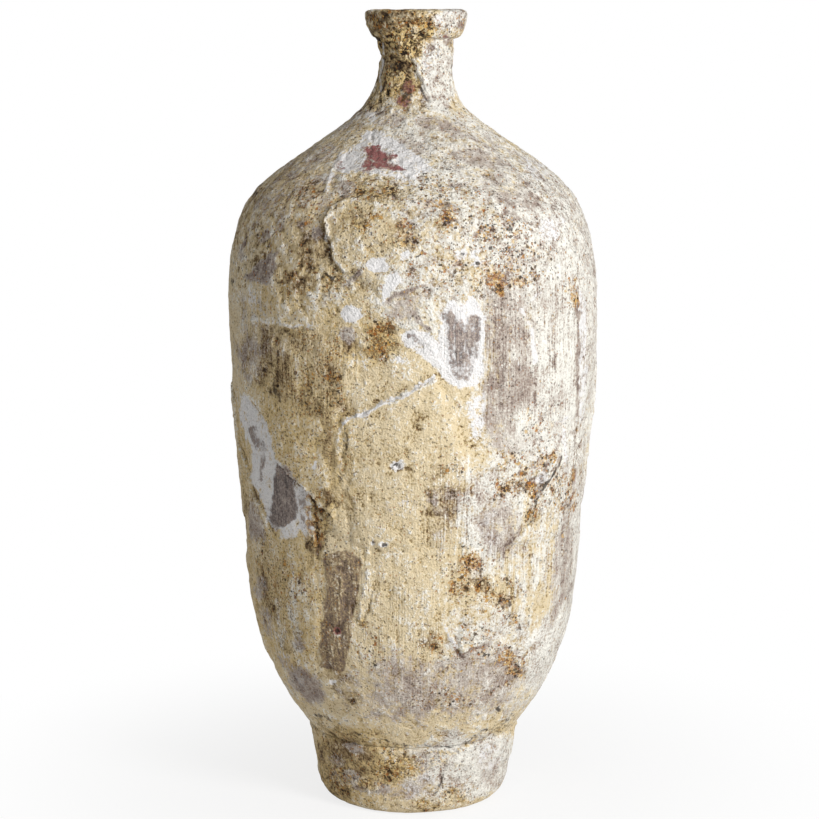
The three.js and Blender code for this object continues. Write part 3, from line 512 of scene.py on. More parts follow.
# Heights over which the body's drift begins at the foot, and ends at the neck.
DRIFT_LOW, DRIFT_HIGH = (20, 90), (325, 380)
DRIFT_DOWN, DRIFT_LEFT, DRIFT_LEFT_AT_ENDS = 84, 60, 16


# Settings


def shade(red, green, blue):
    """A colour of 0 to 255 steps as the linear values that Blender's sockets take."""
    return tuple(((v / 255 + 0.055) / 1.055) ** 2.4 if v > 10 else v / 3295 for v in (red, green, blue))


def tint(name, description, *steps):
    return FloatVectorProperty(
        name=name, description=description, subtype="COLOR", size=3, min=0, max=1, default=shade(*steps))


class BottleColours(PropertyGroup):
    """Colours of the clay, the lime coat and what has settled on them."""

    cream: tint("Cream", "Lime coat where it is thick", 226, 208, 172)
    khaki: tint("Khaki", "Lime coat where it is stained", 190, 167, 124)
    # Straw also stands for painted shade on the shaded left, where the warm mark lies.
    straw: tint("Straw", "Lime coat where it has yellowed", 217, 190, 134)
    taupe: tint("Taupe", "Brown stain in the lime coat", 158, 134, 100)
    chalk: tint("Chalk", "Palest lime", 247, 243, 233)
    # Wash also stands for painted highlight on the lit right side, where the pale mark lies.
    wash: tint("Wash", "Thin grey-white lime wash", 226, 223, 214)
    mauve: tint("Mauve", "Bare clay", 172, 156, 144)
    plum: tint("Plum", "Darker bare clay", 116, 100, 93)
    lilac: tint("Lilac", "Clay under thin slip", 204, 194, 183)
    slip: tint("Slip", "Lavender white slip", 240, 238, 237)
    wine: tint("Wine", "Burnt red clay", 150, 98, 95)
    ochre: tint("Ochre", "Yellow grit", 206, 162, 88)
    rust: tint("Rust", "Burnt grit", 166, 98, 40)
    umber: tint("Umber", "Brown in the hollows", 102, 80, 54)
    soot: tint("Soot", "Black in pits and cracks", 48, 37, 28)


class BottleRelief(PropertyGroup):
    """How fine the forms are and how high they stand."""

    steps: IntProperty(name="Steps round", description="Faces round a ring", default=600, min=60, max=720)
    skin: FloatProperty(
        name="Skin grid", description="Height of a face on a ring's outside", default=1.02 * MM, min=0.5 * MM,
        unit="LENGTH", precision=5)
    slab: FloatProperty(
        name="Slab grid", description="Size of a face on a coat slab", default=1.05 * MM, min=0.5 * MM,
        unit="LENGTH", precision=5)
    lumps: FloatProperty(
        name="Lumps", description="Height of the widest lumps in the clay", default=0.7 * MM, unit="LENGTH",
        precision=5)


class BottleStage(PropertyGroup):
    """Light and camera."""

    key: FloatProperty(
        name="Key light", description="Power of the large lamp on the right", default=20, unit="POWER")
    fill: FloatProperty(name="Fill", description="Strength of the even light from all round", default=0.35)
    lens: FloatProperty(
        name="Lens", description="Focal length of the camera", subtype="DISTANCE_CAMERA",
        default=SENSOR_WIDTH * FOCAL_PIXELS / PICTURE_SIZE)


# Noise and marks


def ease(x, low, high):
    """0 below low, 1 above high, and a smooth step between."""
    t = np.clip((x - low) / (high - low), 0, 1)
    return t * t * (3 - 2 * t)


def fall(x, low, high):
    """1 below low, 0 above high, and a smooth step between."""
    return ease(-x, -high, -low)


def grain(points, size, seed):
    """Smooth noise from -1 to 1 at points in millimetres, in lumps of the given size."""
    q = points / size + seed * 19.7
    cell = np.floor(q).astype(np.int64)
    f = q - cell
    f = f * f * (3 - 2 * f)
    total = np.zeros(len(points))
    for corner in np.ndindex(2, 2, 2):
        c = cell + corner
        n = (c[:, 0] * 73856093 ^ c[:, 1] * 19349663 ^ c[:, 2] * 83492791) & 0xFFFFFFFF
        n = ((n ^ n >> 15) * 739982445) & 0xFFFFFFFF
        n = ((n ^ n >> 12) * 695872825) & 0xFFFFFFFF
        weight = np.prod(np.where(corner, f, 1 - f), axis=1)
        total += weight * ((n ^ n >> 15) & 0xFFFF)
    return total / 32767.5 - 1


def waves(points, *layers):
    """Sum of noises, each given as (height, size, seed)."""
    return sum(height * grain(points, size, seed) for height, size, seed in layers)


def strewn(points, size, seed, low, field, field_seed):
    """Small lumps, from 0 to 1, that lie close together in some fields and are missing from others."""
    return ease(grain(points, size, seed), low, 0.8) * ease(grain(points, field, field_seed), -0.1, 0.5)


def picture_place(points):
    """Picture pixels of points in millimetres. Behind the bottle the pattern drifts, so the sides differ."""
    pitch = math.radians(CAMERA_PITCH)
    x = points[:, 0] - CAMERA_SIDE
    y = points[:, 1] + CAMERA_AWAY
    z = points[:, 2] - CAMERA_HEIGHT
    depth = y * math.cos(pitch) - z * math.sin(pitch)
    px = PICTURE_SIZE / 2 + FOCAL_PIXELS * x / depth
    py = PICTURE_SIZE / 2 - FOCAL_PIXELS * (y * math.sin(pitch) + z * math.cos(pitch)) / depth
    turn = np.degrees(np.abs(np.arctan2(points[:, 0], -points[:, 1])))
    around = ease(turn, *DRIFT_DEGREES)
    body = fall(points[:, 2], *DRIFT_HIGH) * ease(points[:, 2], *DRIFT_LOW)
    py = py + DRIFT_DOWN * around * body * (1 + 0.3 * np.sin(px / 40))
    left = body * (DRIFT_LEFT + 25 * np.sin(py / 60)) + DRIFT_LEFT_AT_ENDS * (1 - body)
    return px - around * left, py


def strayed(place, points, noise, amount=1):
    """Picture pixels moved by one row of noise across and one down."""
    return [pixels + amount * waves(points, *row) for pixels, row in zip(place, noise)]


def to_line(px, py, points):
    """Distance in pixels to a line through points."""
    best = np.full(len(px), 1e9)
    for (ax, ay), (bx, by) in zip(points, points[1:]):
        ex, ey = bx - ax, by - ay
        t = np.clip(((px - ax) * ex + (py - ay) * ey) / (ex * ex + ey * ey), 0, 1)
        best = np.minimum(best, np.hypot(px - ax - t * ex, py - ay - t * ey))
    return best


def inside(px, py, points):
    """Which pixels lie in a closed outline."""
    found = np.zeros(len(px), dtype=bool)
    for (ax, ay), (bx, by) in zip(points, points[1:] + points[:1]):
        if ay != by:
            found ^= ((ay > py) != (by > py)) & (px < ax + (bx - ax) * (py - ay) / (by - ay))
    return found


def close_to(px, py, points, reach):
    """Indexes of the pixels within reach of the box round points."""
    xs, ys = zip(*points)
    return np.nonzero((px > min(xs) - reach) & (px < max(xs) + reach)
                      & (py > min(ys) - reach) & (py < max(ys) + reach))[0]


def cover(px, py, marks):
    """How strongly a finish covers each pixel, from 0 to 1."""
    amount = np.zeros(len(px))
    for x, y, w, h, turn, strength in marks.get("spots", ()):
        near = close_to(px, py, [(x, y)], 1.6 * max(w, h))
        dx, dy = px[near] - x, py[near] - y
        c, s = math.cos(math.radians(turn)), math.sin(math.radians(turn))
        d = np.hypot((dx * c + dy * s) / w, (dy * c - dx * s) / h)
        amount[near] = np.maximum(amount[near], strength * fall(d, 0.55, 1.5))
    for points, strength in marks.get("patches", ()):
        near = close_to(px, py, points, 5)
        d = to_line(px[near], py[near], points + points[:1])
        d = np.where(inside(px[near], py[near], points), d, -d)
        amount[near] = np.maximum(amount[near], strength * ease(d, -4, 3))
    for points, width, strength in marks.get("strokes", ()):
        near = close_to(px, py, points, 2 * width)
        d = to_line(px[near], py[near], points) / width
        amount[near] = np.maximum(amount[near], strength * fall(d, 0.5, 1.6))
    return amount


def tooled(px, py, strokes, pits=()):
    """Rise in millimetres of ridges, cracks and pits."""
    rise = np.zeros(len(px))
    for points, width, height in strokes:
        near = close_to(px, py, points, 2 * width)
        rise[near] += height * fall(to_line(px[near], py[near], points) / width, 0, 1.5)
    for x, y, width, height in pits:
        near = close_to(px, py, [(x, y)], 1.6 * width)
        rise[near] += height * fall(np.hypot(px[near] - x, py[near] - y) / width, 0.3, 1.4)
    return rise


def relief(points, lumps):
    """Rise of the worn clay in millimetres, and the part of it that is fine."""
    px, py = strayed(picture_place(points), points, TOOL_WANDER)
    broad = lumps * waves(points, (1, 46, 1), (0.6, 19, 2)) + tooled(px, py, BRIDGES)
    pits = -0.8 * strewn(points, 3.4, 6, 0.45, 21, 7)
    crumbs = 0.5 * strewn(points, 3, 8, 0.42, 27, 9)
    worn = 0.45 + 0.75 * ease(grain(points, 4.6, 53), -0.35, 0.45)
    fine = waves(points, *CLAY_GRAIN) + pits + crumbs + tooled(px, py, TOOLING, PITS) * worn
    return broad + fine, fine


def side(z):
    """Radius and slope of the bottle's side at heights z, in millimetres."""
    h, r, m = STATIONS.T
    i = np.clip(np.searchsorted(h, z, side="right") - 1, 0, len(h) - 2)
    span = h[i + 1] - h[i]
    t = (z - h[i]) / span
    radius = ((1 + 2 * t) * (1 - t) ** 2 * r[i] + t * (1 - t) ** 2 * span * m[i]
              + t * t * (3 - 2 * t) * r[i + 1] + t * t * (t - 1) * span * m[i + 1])
    slope = ((6 * t * t - 6 * t) * (r[i] - r[i + 1]) / span + (3 * t * t - 4 * t + 1) * m[i]
             + (3 * t * t - 2 * t) * m[i + 1])
    return radius, slope


def foot_side(z):
    """Radius and slope of the foot's straight side."""
    slope = (STATIONS[0, 1] - STANDING_RADIUS - BEVEL_WIDTH) / (FOOT_TOP - BEVEL_HEIGHT)
    return STATIONS[0, 1] - slope * (FOOT_TOP - z), np.full(len(z), slope)


# Heights a tenth of a millimetre apart, and the length along the side from the floor up to each.
HEIGHT_TABLE = np.linspace(0, 420, 4201)
RUN_TABLE = np.concatenate([[0], np.cumsum(np.hypot(
    np.diff(HEIGHT_TABLE), np.diff(side(np.clip(HEIGHT_TABLE, FOOT_TOP, NECK_TOP))[0])))])


def run_at(z):
    return np.interp(z, HEIGHT_TABLE, RUN_TABLE)


def height_at(run):
    return np.interp(run, RUN_TABLE, HEIGHT_TABLE)


def climb(bottom, top, step):
    """Heights from bottom to top that are about a step apart along the side."""
    start, stop = run_at((bottom, top))
    return height_at(np.linspace(start, stop, max(2, round((stop - start) / step) + 1)))


def evenly(points, step):
    """A line through points with new points about a step apart."""
    points = np.array(points, dtype=float)
    run = np.concatenate([[0], np.cumsum(np.hypot(*np.diff(points, axis=0).T))])
    at = np.linspace(0, run[-1], max(2, round(run[-1] / step) + 1))
    return np.stack([np.interp(at, run, points[:, k]) for k in (0, 1)], axis=1)


def rounded(points, times):
    """A line with its corners cut off, over and over, keeping its ends."""
    points = np.array(points, dtype=float)
    for _ in range(times):
        a, b = points[:-1], points[1:]
        cut = np.stack([0.75 * a + 0.25 * b, 0.25 * a + 0.75 * b], axis=1).reshape(-1, 2)
        points = np.vstack([points[:1], cut, points[-1:]])
    return points


def line_normals(line):
    """Outward unit normals of a section line that runs upwards."""
    run = np.gradient(line, axis=0)
    return np.stack([run[:, 1], -run[:, 0]], axis=1) / np.hypot(*run.T)[:, None]


# Making pieces


def read_points(piece):
    """A piece's vertices, in millimetres."""
    co = np.empty(3 * len(piece.data.vertices))
    piece.data.vertices.foreach_get("co", co)
    return co.reshape(-1, 3) / MM


def write_points(piece, points):
    piece.data.vertices.foreach_set("co", np.ascontiguousarray(points * MM).ravel())
    piece.data.update()


def apply_modifier(piece, kind, **settings):
    modifier = piece.modifiers.new(kind.title(), kind)
    for key, value in settings.items():
        setattr(modifier, key, value)
    bpy.ops.object.modifier_apply(modifier=modifier.name)


def tidy_normals():
    bpy.ops.object.mode_set(mode="EDIT")
    bpy.ops.mesh.select_all(action="SELECT")
    bpy.ops.mesh.normals_make_consistent(inside=False)
    bpy.ops.object.mode_set(mode="OBJECT")


def leaned(points):
    """Points moved by the bottle's lean."""
    points = points.copy()
    points[:, 0] += np.interp(points[:, 2], LEAN_HEIGHTS, LEAN_SHIFTS)
    return points


def turn_section(name, section, steps, arc=360):
    """Turn a closed section of radius and height about the bottle's axis.

    Returns the piece, and each vertex's place on the section.
    """
    bpy.ops.object.select_all(action="DESELECT")
    bpy.ops.mesh.primitive_circle_add(vertices=len(section), radius=0.01)
    piece = bpy.context.object
    piece.name = piece.data.name = name
    write_points(piece, np.column_stack([section[:, 0], np.zeros(len(section)), section[:, 1]]))
    apply_modifier(piece, "SCREW", angle=math.radians(arc), steps=steps, render_steps=steps,
                   use_merge_vertices=arc == 360, merge_threshold=1e-6, use_normal_calculate=True)
    points = read_points(piece)
    place = np.arange(len(points)) % len(section)
    if np.abs(np.hypot(points[:, 0], points[:, 1]) - section[place, 0]).max() > 0.01:
        raise RuntimeError(f"{name}: the turned section's vertices are out of order")
    return piece, place


def worn_ring(name, outer, normals, inner, relief_settings, amount=None):
    """A clay ring with a worn outside. The outer line runs up and the inner line runs down."""
    section = np.vstack([outer, inner])
    piece, place = turn_section(name, section, relief_settings.steps)
    points = read_points(piece)
    skin = np.nonzero(place < len(outer))[0]
    along = place[skin]
    rise, fine = relief(points[skin], relief_settings.lumps / MM)
    if amount is not None:
        rise = rise * amount[along]
    out = points[skin, :2] / outer[along, :1]
    points[skin, :2] += out * (normals[along, 0] * rise)[:, None]
    points[skin, 2] += normals[along, 1] * rise
    hollow = np.zeros(len(points))
    hollow[skin] = -fine
    points[:, 2] = np.maximum(points[:, 2], 0)
    write_points(piece, leaned(points))
    tidy_normals()
    return piece, hollow


def body_ring(name, bottom, top, walls, relief_settings, step):
    """A clay ring of the bottle's side, with the thickness of its wall at the bottom and at the top."""
    z = climb(bottom, top, step)
    radius, slope = side(z)
    normals = np.stack([np.ones(len(z)), -slope], axis=1) / np.hypot(1, slope)[:, None]
    outer = np.stack([radius, z], axis=1)
    z = climb(bottom, top, 9)
    radius, slope = side(z)
    wall = np.interp(z, (bottom, top), walls) / np.hypot(1, slope)
    inner = np.stack([radius - wall, z + wall * slope], axis=1)[::-1]
    return worn_ring(name, outer, normals, inner, relief_settings)


def slab_distance(outline, u, v):
    """Signed distance in from a slab's edge, and the way that the nearest edge faces."""
    points = [tuple(p) for p in outline]
    turn = sum(ax * by - bx * ay for (ax, ay), (bx, by) in zip(points, points[1:] + points[:1]))
    best = np.full(len(u), 1e9)
    facing = np.zeros((len(u), 2))
    for a, b in zip(points, points[1:] + points[:1]):
        d = to_line(u, v, [a, b])
        best = np.minimum(best, d)
        e = np.array((b[1] - a[1], a[0] - b[0])) / math.dist(a, b) * math.copysign(1, turn)
        facing += e / (d[:, None] + 0.6) ** 4
    facing /= np.hypot(*facing.T)[:, None] + 1e-9
    return np.where(inside(u, v, points), best, -best), facing


def slab_corners(course, outline):
    """The side that a slab lies on, its corners' degrees and heights, and the radius at its middle."""
    bottom, top = COURSES[course]
    line = foot_side if course == "foot" else side
    degrees = np.array([corner for corner, _ in outline], dtype=float)
    heights = np.array([bottom + (top - bottom) * percent / 100 for _, percent in outline])
    return line, degrees, heights, line(np.array([heights.mean()]))[0][0]


def slab_plan(name, course, outline, degrees, z):
    """How places on the side lie to a slab.

    Returns the distance in from its ragged edge, how wide and how broken that edge is, and the places.
    """
    line, angles, heights, middle = slab_corners(course, outline)
    drawn = np.stack([np.radians(angles) * middle, run_at(heights)], axis=1)
    turn = np.radians(degrees)
    edge, facing = slab_distance(drawn, turn * middle, run_at(z))
    radius = line(z)[0]
    ground = np.stack([radius * np.sin(turn), -radius * np.cos(turn), z], axis=1)
    edge += waves(ground, *RAGGED_EDGE)
    broken = np.zeros(len(edge))
    if name in BROKEN_EDGES:
        way = math.radians(BROKEN_EDGES[name][1])
        broken = ease(facing @ (math.cos(way), math.sin(way)), 0.25, 0.8)
    return edge, FEATHERED_EDGE - (FEATHERED_EDGE - BROKEN_EDGE) * broken, broken, ground


def coat_slab(name, course, outline, relief_settings):
    """A slab of lime coat: a grid on the clay, thick inside its outline and under the clay outside it."""
    bottom, top = COURSES[course]
    line, degrees, heights, middle = slab_corners(course, outline)
    step = relief_settings.slab / MM
    if course == "neck":
        step = 0.6 * step
    reach = math.degrees(SLAB_MARGIN / middle)
    low = max(bottom + JOINT_MARGIN, heights.min() - SLAB_MARGIN)
    high = min(top - JOINT_MARGIN, heights.max() + SLAB_MARGIN)
    left, right = degrees.min() - reach, degrees.max() + reach
    across = round(math.radians(right - left) * middle / step)
    up = len(climb(low, high, step)) - 1

    bpy.ops.object.select_all(action="DESELECT")
    bpy.ops.mesh.primitive_grid_add(x_subdivisions=across, y_subdivisions=up, size=2)
    piece = bpy.context.object
    piece.name = piece.data.name = f"{name}_worn"
    flat = read_points(piece) * MM
    angle = left + (right - left) * (flat[:, 0] + 1) / 2
    start, stop = run_at((low, high))
    z = height_at(start + (stop - start) * (flat[:, 1] + 1) / 2)
    edge, width, _, ground = slab_plan(name, course, outline, angle, z)
    slope = line(z)[1]
    turn = np.radians(angle)
    normal = np.stack([np.sin(turn), -np.cos(turn), -slope], axis=1) / np.hypot(1, slope)[:, None]
    thickness = BROKEN_EDGES.get(name, (FEATHERED_THICKNESS,))[0]
    rise = ease(edge, -0.35 * width, 0.65 * width) * (thickness + SLAB_DIVE) - SLAB_DIVE
    rise += relief(ground, relief_settings.lumps / MM)[0] + 0.12 * grain(ground, 12, 24) * ease(edge, 0, 6)
    write_points(piece, ground + normal * rise[:, None])

    select_and_delete(piece, edge < -0.5 * width - 1.5)
    apply_modifier(piece, "SOLIDIFY", thickness=SLAB_BACK * MM, offset=-1)
    write_points(piece, leaned(read_points(piece)))
    tidy_normals()
    return piece


def along_broken_edges(points):
    """Shade at the foot of the slabs' broken edges, less the light on their rims."""
    degrees = np.degrees(np.arctan2(points[:, 0], -points[:, 1]))
    dark = np.zeros(len(points))
    for course, slabs in SLABS.items():
        bottom, top = COURSES[course]
        for name, outline in slabs.items():
            if name not in BROKEN_EDGES:
                continue
            angles = [corner for corner, _ in outline]
            middle, half = (min(angles) + max(angles)) / 2, (max(angles) - min(angles)) / 2 + 8
            turned = (degrees - middle + 180) % 360 - 180
            level = (points[:, 2] > bottom - 4) & (points[:, 2] < top + 4)
            near = np.nonzero((np.abs(turned) < half) & level)[0]
            if len(near):
                z = np.clip(points[near, 2], bottom, top)
                edge, _, broken, _ = slab_plan(name, course, outline, turned[near] + middle, z)
                foot = fall(edge, -0.7, 0.3) * ease(edge, -4, -0.8)
                rim = ease(edge, -0.2, 0.8) * fall(edge, 1, 3)
                dark[near] += broken * (foot - 0.9 * rim)
    return dark


def select_and_delete(piece, chosen):
    bpy.ops.object.mode_set(mode="EDIT")
    bpy.ops.mesh.select_mode(type="VERT")
    bpy.ops.mesh.select_all(action="DESELECT")
    bpy.ops.object.mode_set(mode="OBJECT")
    piece.data.vertices.foreach_set("select", chosen)
    bpy.ops.object.mode_set(mode="EDIT")
    bpy.ops.mesh.delete(type="VERT")
    bpy.ops.object.mode_set(mode="OBJECT")


def lay_paint(piece, hollow=None):
    """Store on each vertex how strongly each finish covers it, and where it lies on the unrolled side."""
    points = read_points(piece)
    z = points[:, 2]
    # Marks fray less on the neck, where they are small.
    fray = 1 - 0.6 * ease(z, 345, 380)
    firm = strayed(picture_place(points), points, FRAY, fray)
    loose = strayed(firm, points, WANDER, fray)
    layers = {}
    for name, marks in MARKS.items():
        place = loose if name in LOOSE else firm
        if name in SCATTERED:
            place = strayed(loose, points, SCATTER, fray * SCATTERED[name])
        layers[name] = cover(*place, marks)
    layers["rust"] *= 0.7 + 0.6 * ease(grain(points, 4.5, 75), -0.4, 0.4)
    layers["stain"] *= 0.75 + 0.5 * ease(grain(points, 7, 76), -0.4, 0.4)
    if hollow is None:
        hollow = -relief(points, 0)[1]
    # The hollow mark: the clay's fine hollows, plus painted shade at the foot of the slabs' broken edges,
    # less painted highlight on their rims.
    layers["hollow"] = np.clip(hollow / 0.8, -1, 1) + along_broken_edges(points)
    # The shoulder, the neck and the foot are crunchier than the belly, and the pale mark smooths them: thin
    # wash, and painted highlight on the lit right.
    ends = ease(z, 250, 300) + 0.4 * fall(z, 38, 46)
    rough = ends * (0.75 + 0.5 * grain(points, 30, 38)) + 0.3 * ease(z, 362, 382)
    crunch = np.clip(np.maximum.reduce([rough, layers["rust"], layers["crust"]]), 0, 1.2)
    layers["crunch"] = crunch * (1 - 0.5 * np.clip(layers["pale"], 0, 1))
    # Below the shoulder the trowel has swept the coat lightly, in places.
    swept = 0.3 * ease(grain(points, 40, 35), -0.1, 0.6) * fall(z, 255, 310)
    layers["drag"] = np.maximum(layers["drag"], swept)
    attributes = piece.data.attributes
    for name, amounts in layers.items():
        attributes.new(name, "FLOAT", "POINT").data.foreach_set("value", amounts.astype(np.float32))
    turn = np.arctan2(points[:, 0], -points[:, 1])
    widest = STATIONS[:, 1].max()
    lay = np.stack([widest * np.sin(turn), -widest * np.cos(turn), run_at(z)], axis=1) * MM
    attributes.new("lay", "FLOAT_VECTOR", "POINT").data.foreach_set("vector", lay.astype(np.float32).ravel())


def finish_piece(piece, node, material, hollow=None):
    """Paint a piece, hang it under the root body, and hide the solid that it stands in for."""
    lay_paint(piece, hollow)
    piece.data.materials.clear()
    piece.data.materials.append(material)
    bpy.ops.object.select_all(action="DESELECT")
    piece.select_set(True)
    bpy.context.view_layer.objects.active = piece
    bpy.ops.object.shade_smooth_by_angle(angle=math.radians(55))
    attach(piece, "root")
    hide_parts(node)


# Finishes


class Glaze:
    """Nodes of one finish. Sizes are in millimetres."""

    def __init__(self, name):
        self.material = bpy.data.materials.new(name)
        self.material.use_nodes = True
        self.tree = self.material.node_tree
        self.tree.nodes.clear()
        self.body = self.node("ShaderNodeTexCoord").outputs["Object"]
        self.lay = self.node("ShaderNodeAttribute", attribute_name="lay").outputs["Vector"]
        self.grow_wear()

    def grow_wear(self):
        """Noises from broad to fine, how worn and how calm each point is, and how ragged marks' edges are.
        Worn and calm also take painted shade at the foot of the slabs' broken edges and painted highlight on
        their rims.
        """
        self.broad = self.noise(26, 3)
        self.patchy = self.noise(8, 5, 0.62)
        self.crumb = self.noise(2.0, 4, 0.66)
        self.dust = self.noise(1.1, 2, 0.62)
        lump = self.noise(3.6, 3, 0.58, seed=11)
        drag = self.noise(3.2, 4, 0.6, drawn_out=15)
        scratch = self.noise(1.1, 3, 0.6, drawn_out=26, seed=3)
        dragged, crunch, hollow = self.mark("drag"), self.mark("crunch"), self.mark("hollow")

        # Wear is low in hollows and high on crests, crumbly, lumpy or drawn out by the trowel. The hollow
        # mark also brings painted shade at the foot of the slabs' broken edges and painted highlight on their
        # rims.
        crumbly = self.times(self.blend_in((self.crumb, 1.2), (self.dust, 1.3), (self.patchy, 0.5)), 0.8)
        lumpy = self.blend_in((lump, 2.3), (self.crumb, 0.9), (self.dust, 0.9))
        drawn = self.blend_in(
            (drag, 0.9), (scratch, 1.3), (self.dust, 1.2), (self.crumb, 0.6), (self.patchy, 0.3))
        wear_and_shading = self.between(self.between(crumbly, lumpy, crunch), drawn, dragged)
        wear_and_shading = self.plus(wear_and_shading, self.plus(0.52, self.times(crunch, 0.045)))
        self.wear_and_shading = self.minus(wear_and_shading, self.times(hollow, 0.34))
        # Calm, which whitens the slip, falls with the hollow mark too, so the slip takes the painted shade
        # and highlight at broken edges.
        calm = self.plus(self.blend_in((self.crumb, 0.5), (self.dust, 0.6), (self.patchy, 0.3)), 0.55)
        self.calm = self.minus(calm, self.times(hollow, 0.15))

        ragged = self.blend_in((self.patchy, 1.2), (self.crumb, 0.8), (self.dust, 0.4))
        streaky = self.blend_in((drag, 1.3), (self.patchy, 0.8), (self.crumb, 0.5), (scratch, 0.4))
        self.ragged = self.between(ragged, streaky, dragged)
        self.stain = self.plus(self.mark("stain"), self.blend_in((self.broad, 0.6)))

    def node(self, kind, **settings):
        node = self.tree.nodes.new(kind)
        for key, value in settings.items():
            setattr(node, key, value)
        return node

    def feed(self, socket, source):
        if isinstance(source, bpy.types.NodeSocket):
            self.tree.links.new(source, socket)
        else:
            socket.default_value = source

    def noise(self, size, detail=4, rough=0.6, drawn_out=1, seed=0):
        """Noise in lumps of a size, drawn out along the side where that is asked for."""
        spread = self.node("ShaderNodeMapping")
        self.feed(spread.inputs["Vector"], self.body if drawn_out == 1 else self.lay)
        scale = 1 / (size * MM)
        self.feed(spread.inputs["Scale"], (scale, scale, scale / drawn_out))
        self.feed(spread.inputs["Location"], (seed * 7.3, seed * 3.1, seed * 5.7))
        noise = self.node("ShaderNodeTexNoise")
        self.feed(noise.inputs["Vector"], spread.outputs[0])
        self.feed(noise.inputs["Scale"], 1.0)
        self.feed(noise.inputs["Detail"], detail)
        self.feed(noise.inputs["Roughness"], rough)
        return noise.outputs[0]

    def specks(self, size, chance, seed, swell=0.0):
        """Scattered specks of about a size: where they lie, and a tone from 0 to 1 for each."""
        spread = self.node("ShaderNodeMapping")
        self.feed(spread.inputs["Vector"], self.body)
        self.feed(spread.inputs["Scale"], (1 / (size * MM),) * 3)
        self.feed(spread.inputs["Location"], (seed * 5.1, seed * 8.3, seed * 2.9))
        bend = self.node("ShaderNodeTexNoise")
        self.feed(bend.inputs["Vector"], spread.outputs[0])
        self.feed(bend.inputs["Scale"], 1.7)
        self.feed(bend.inputs["Detail"], 1.0)
        bent = self.node("ShaderNodeVectorMath", operation="MULTIPLY_ADD")
        self.feed(bent.inputs[0], bend.outputs["Color"])
        self.feed(bent.inputs[1], (0.9, 0.9, 0.9))
        self.feed(bent.inputs[2], spread.outputs[0])
        cells = self.node("ShaderNodeTexVoronoi")
        self.feed(cells.inputs["Vector"], bent.outputs[0])
        self.feed(cells.inputs["Scale"], 1.0)
        draw = self.node("ShaderNodeSeparateColor")
        self.feed(draw.inputs[0], cells.outputs["Color"])
        reach = self.plus(self.plus(0.3, swell), self.times(draw.outputs[1], 0.3))
        there = self.step(self.minus(reach, cells.outputs["Distance"]), -0.06, 0.06)
        return self.times(there, self.maths("GREATER_THAN", chance, draw.outputs[0])), draw.outputs[2]

    def mark(self, name):
        return self.node("ShaderNodeAttribute", attribute_name=name).outputs["Fac"]

    def maths(self, operation, a, b=0.0):
        node = self.node("ShaderNodeMath", operation=operation)
        self.feed(node.inputs[0], a)
        self.feed(node.inputs[1], b)
        return node.outputs[0]

    def plus(self, a, b):
        return self.maths("ADD", a, b)

    def minus(self, a, b):
        return self.maths("SUBTRACT", a, b)

    def times(self, a, b):
        return self.maths("MULTIPLY", a, b)

    def most(self, a, b):
        return self.maths("MAXIMUM", a, b)

    def between(self, a, b, share):
        return self.plus(a, self.times(self.minus(b, a), share))

    def blend_in(self, *parts):
        """Sum of (value, weight) pairs, with each value taken from the middle of 0 to 1."""
        total = 0.0
        for value, weight in parts:
            node = self.node("ShaderNodeMath", operation="MULTIPLY_ADD")
            self.feed(node.inputs[0], self.minus(value, 0.5))
            self.feed(node.inputs[1], weight)
            self.feed(node.inputs[2], total)
            total = node.outputs[0]
        return total

    def step(self, value, low, high):
        node = self.node("ShaderNodeMapRange", interpolation_type="SMOOTHSTEP")
        self.feed(node.inputs[0], value)
        self.feed(node.inputs[1], low)
        self.feed(node.inputs[2], high)
        return node.outputs[0]

    def ramp(self, value, *stops):
        """Colours along a value, as (place, colour) stops."""
        node = self.node("ShaderNodeValToRGB")
        self.feed(node.inputs[0], value)
        elements = node.color_ramp.elements
        while len(elements) < len(stops):
            elements.new(0.5)
        for element, (place, colour) in zip(elements, stops):
            element.position = place
            element.color = (*colour, 1)
        return node.outputs[0]

    def mix(self, share, below, above):
        node = self.node("ShaderNodeMix", data_type="RGBA")
        self.feed(node.inputs[0], share)
        for socket, colour in ((node.inputs[6], below), (node.inputs[7], above)):
            self.feed(socket, colour if isinstance(colour, bpy.types.NodeSocket) else (*colour, 1))
        return node.outputs[2]

    def over(self, mark, below, above, low, high, share=1.0, frayed=1.0):
        """Lay a finish over another where its mark is strong, with a ragged edge."""
        strength = self.plus(mark, self.times(self.ragged, frayed))
        return self.mix(self.times(self.step(strength, low, high), share), below, above)


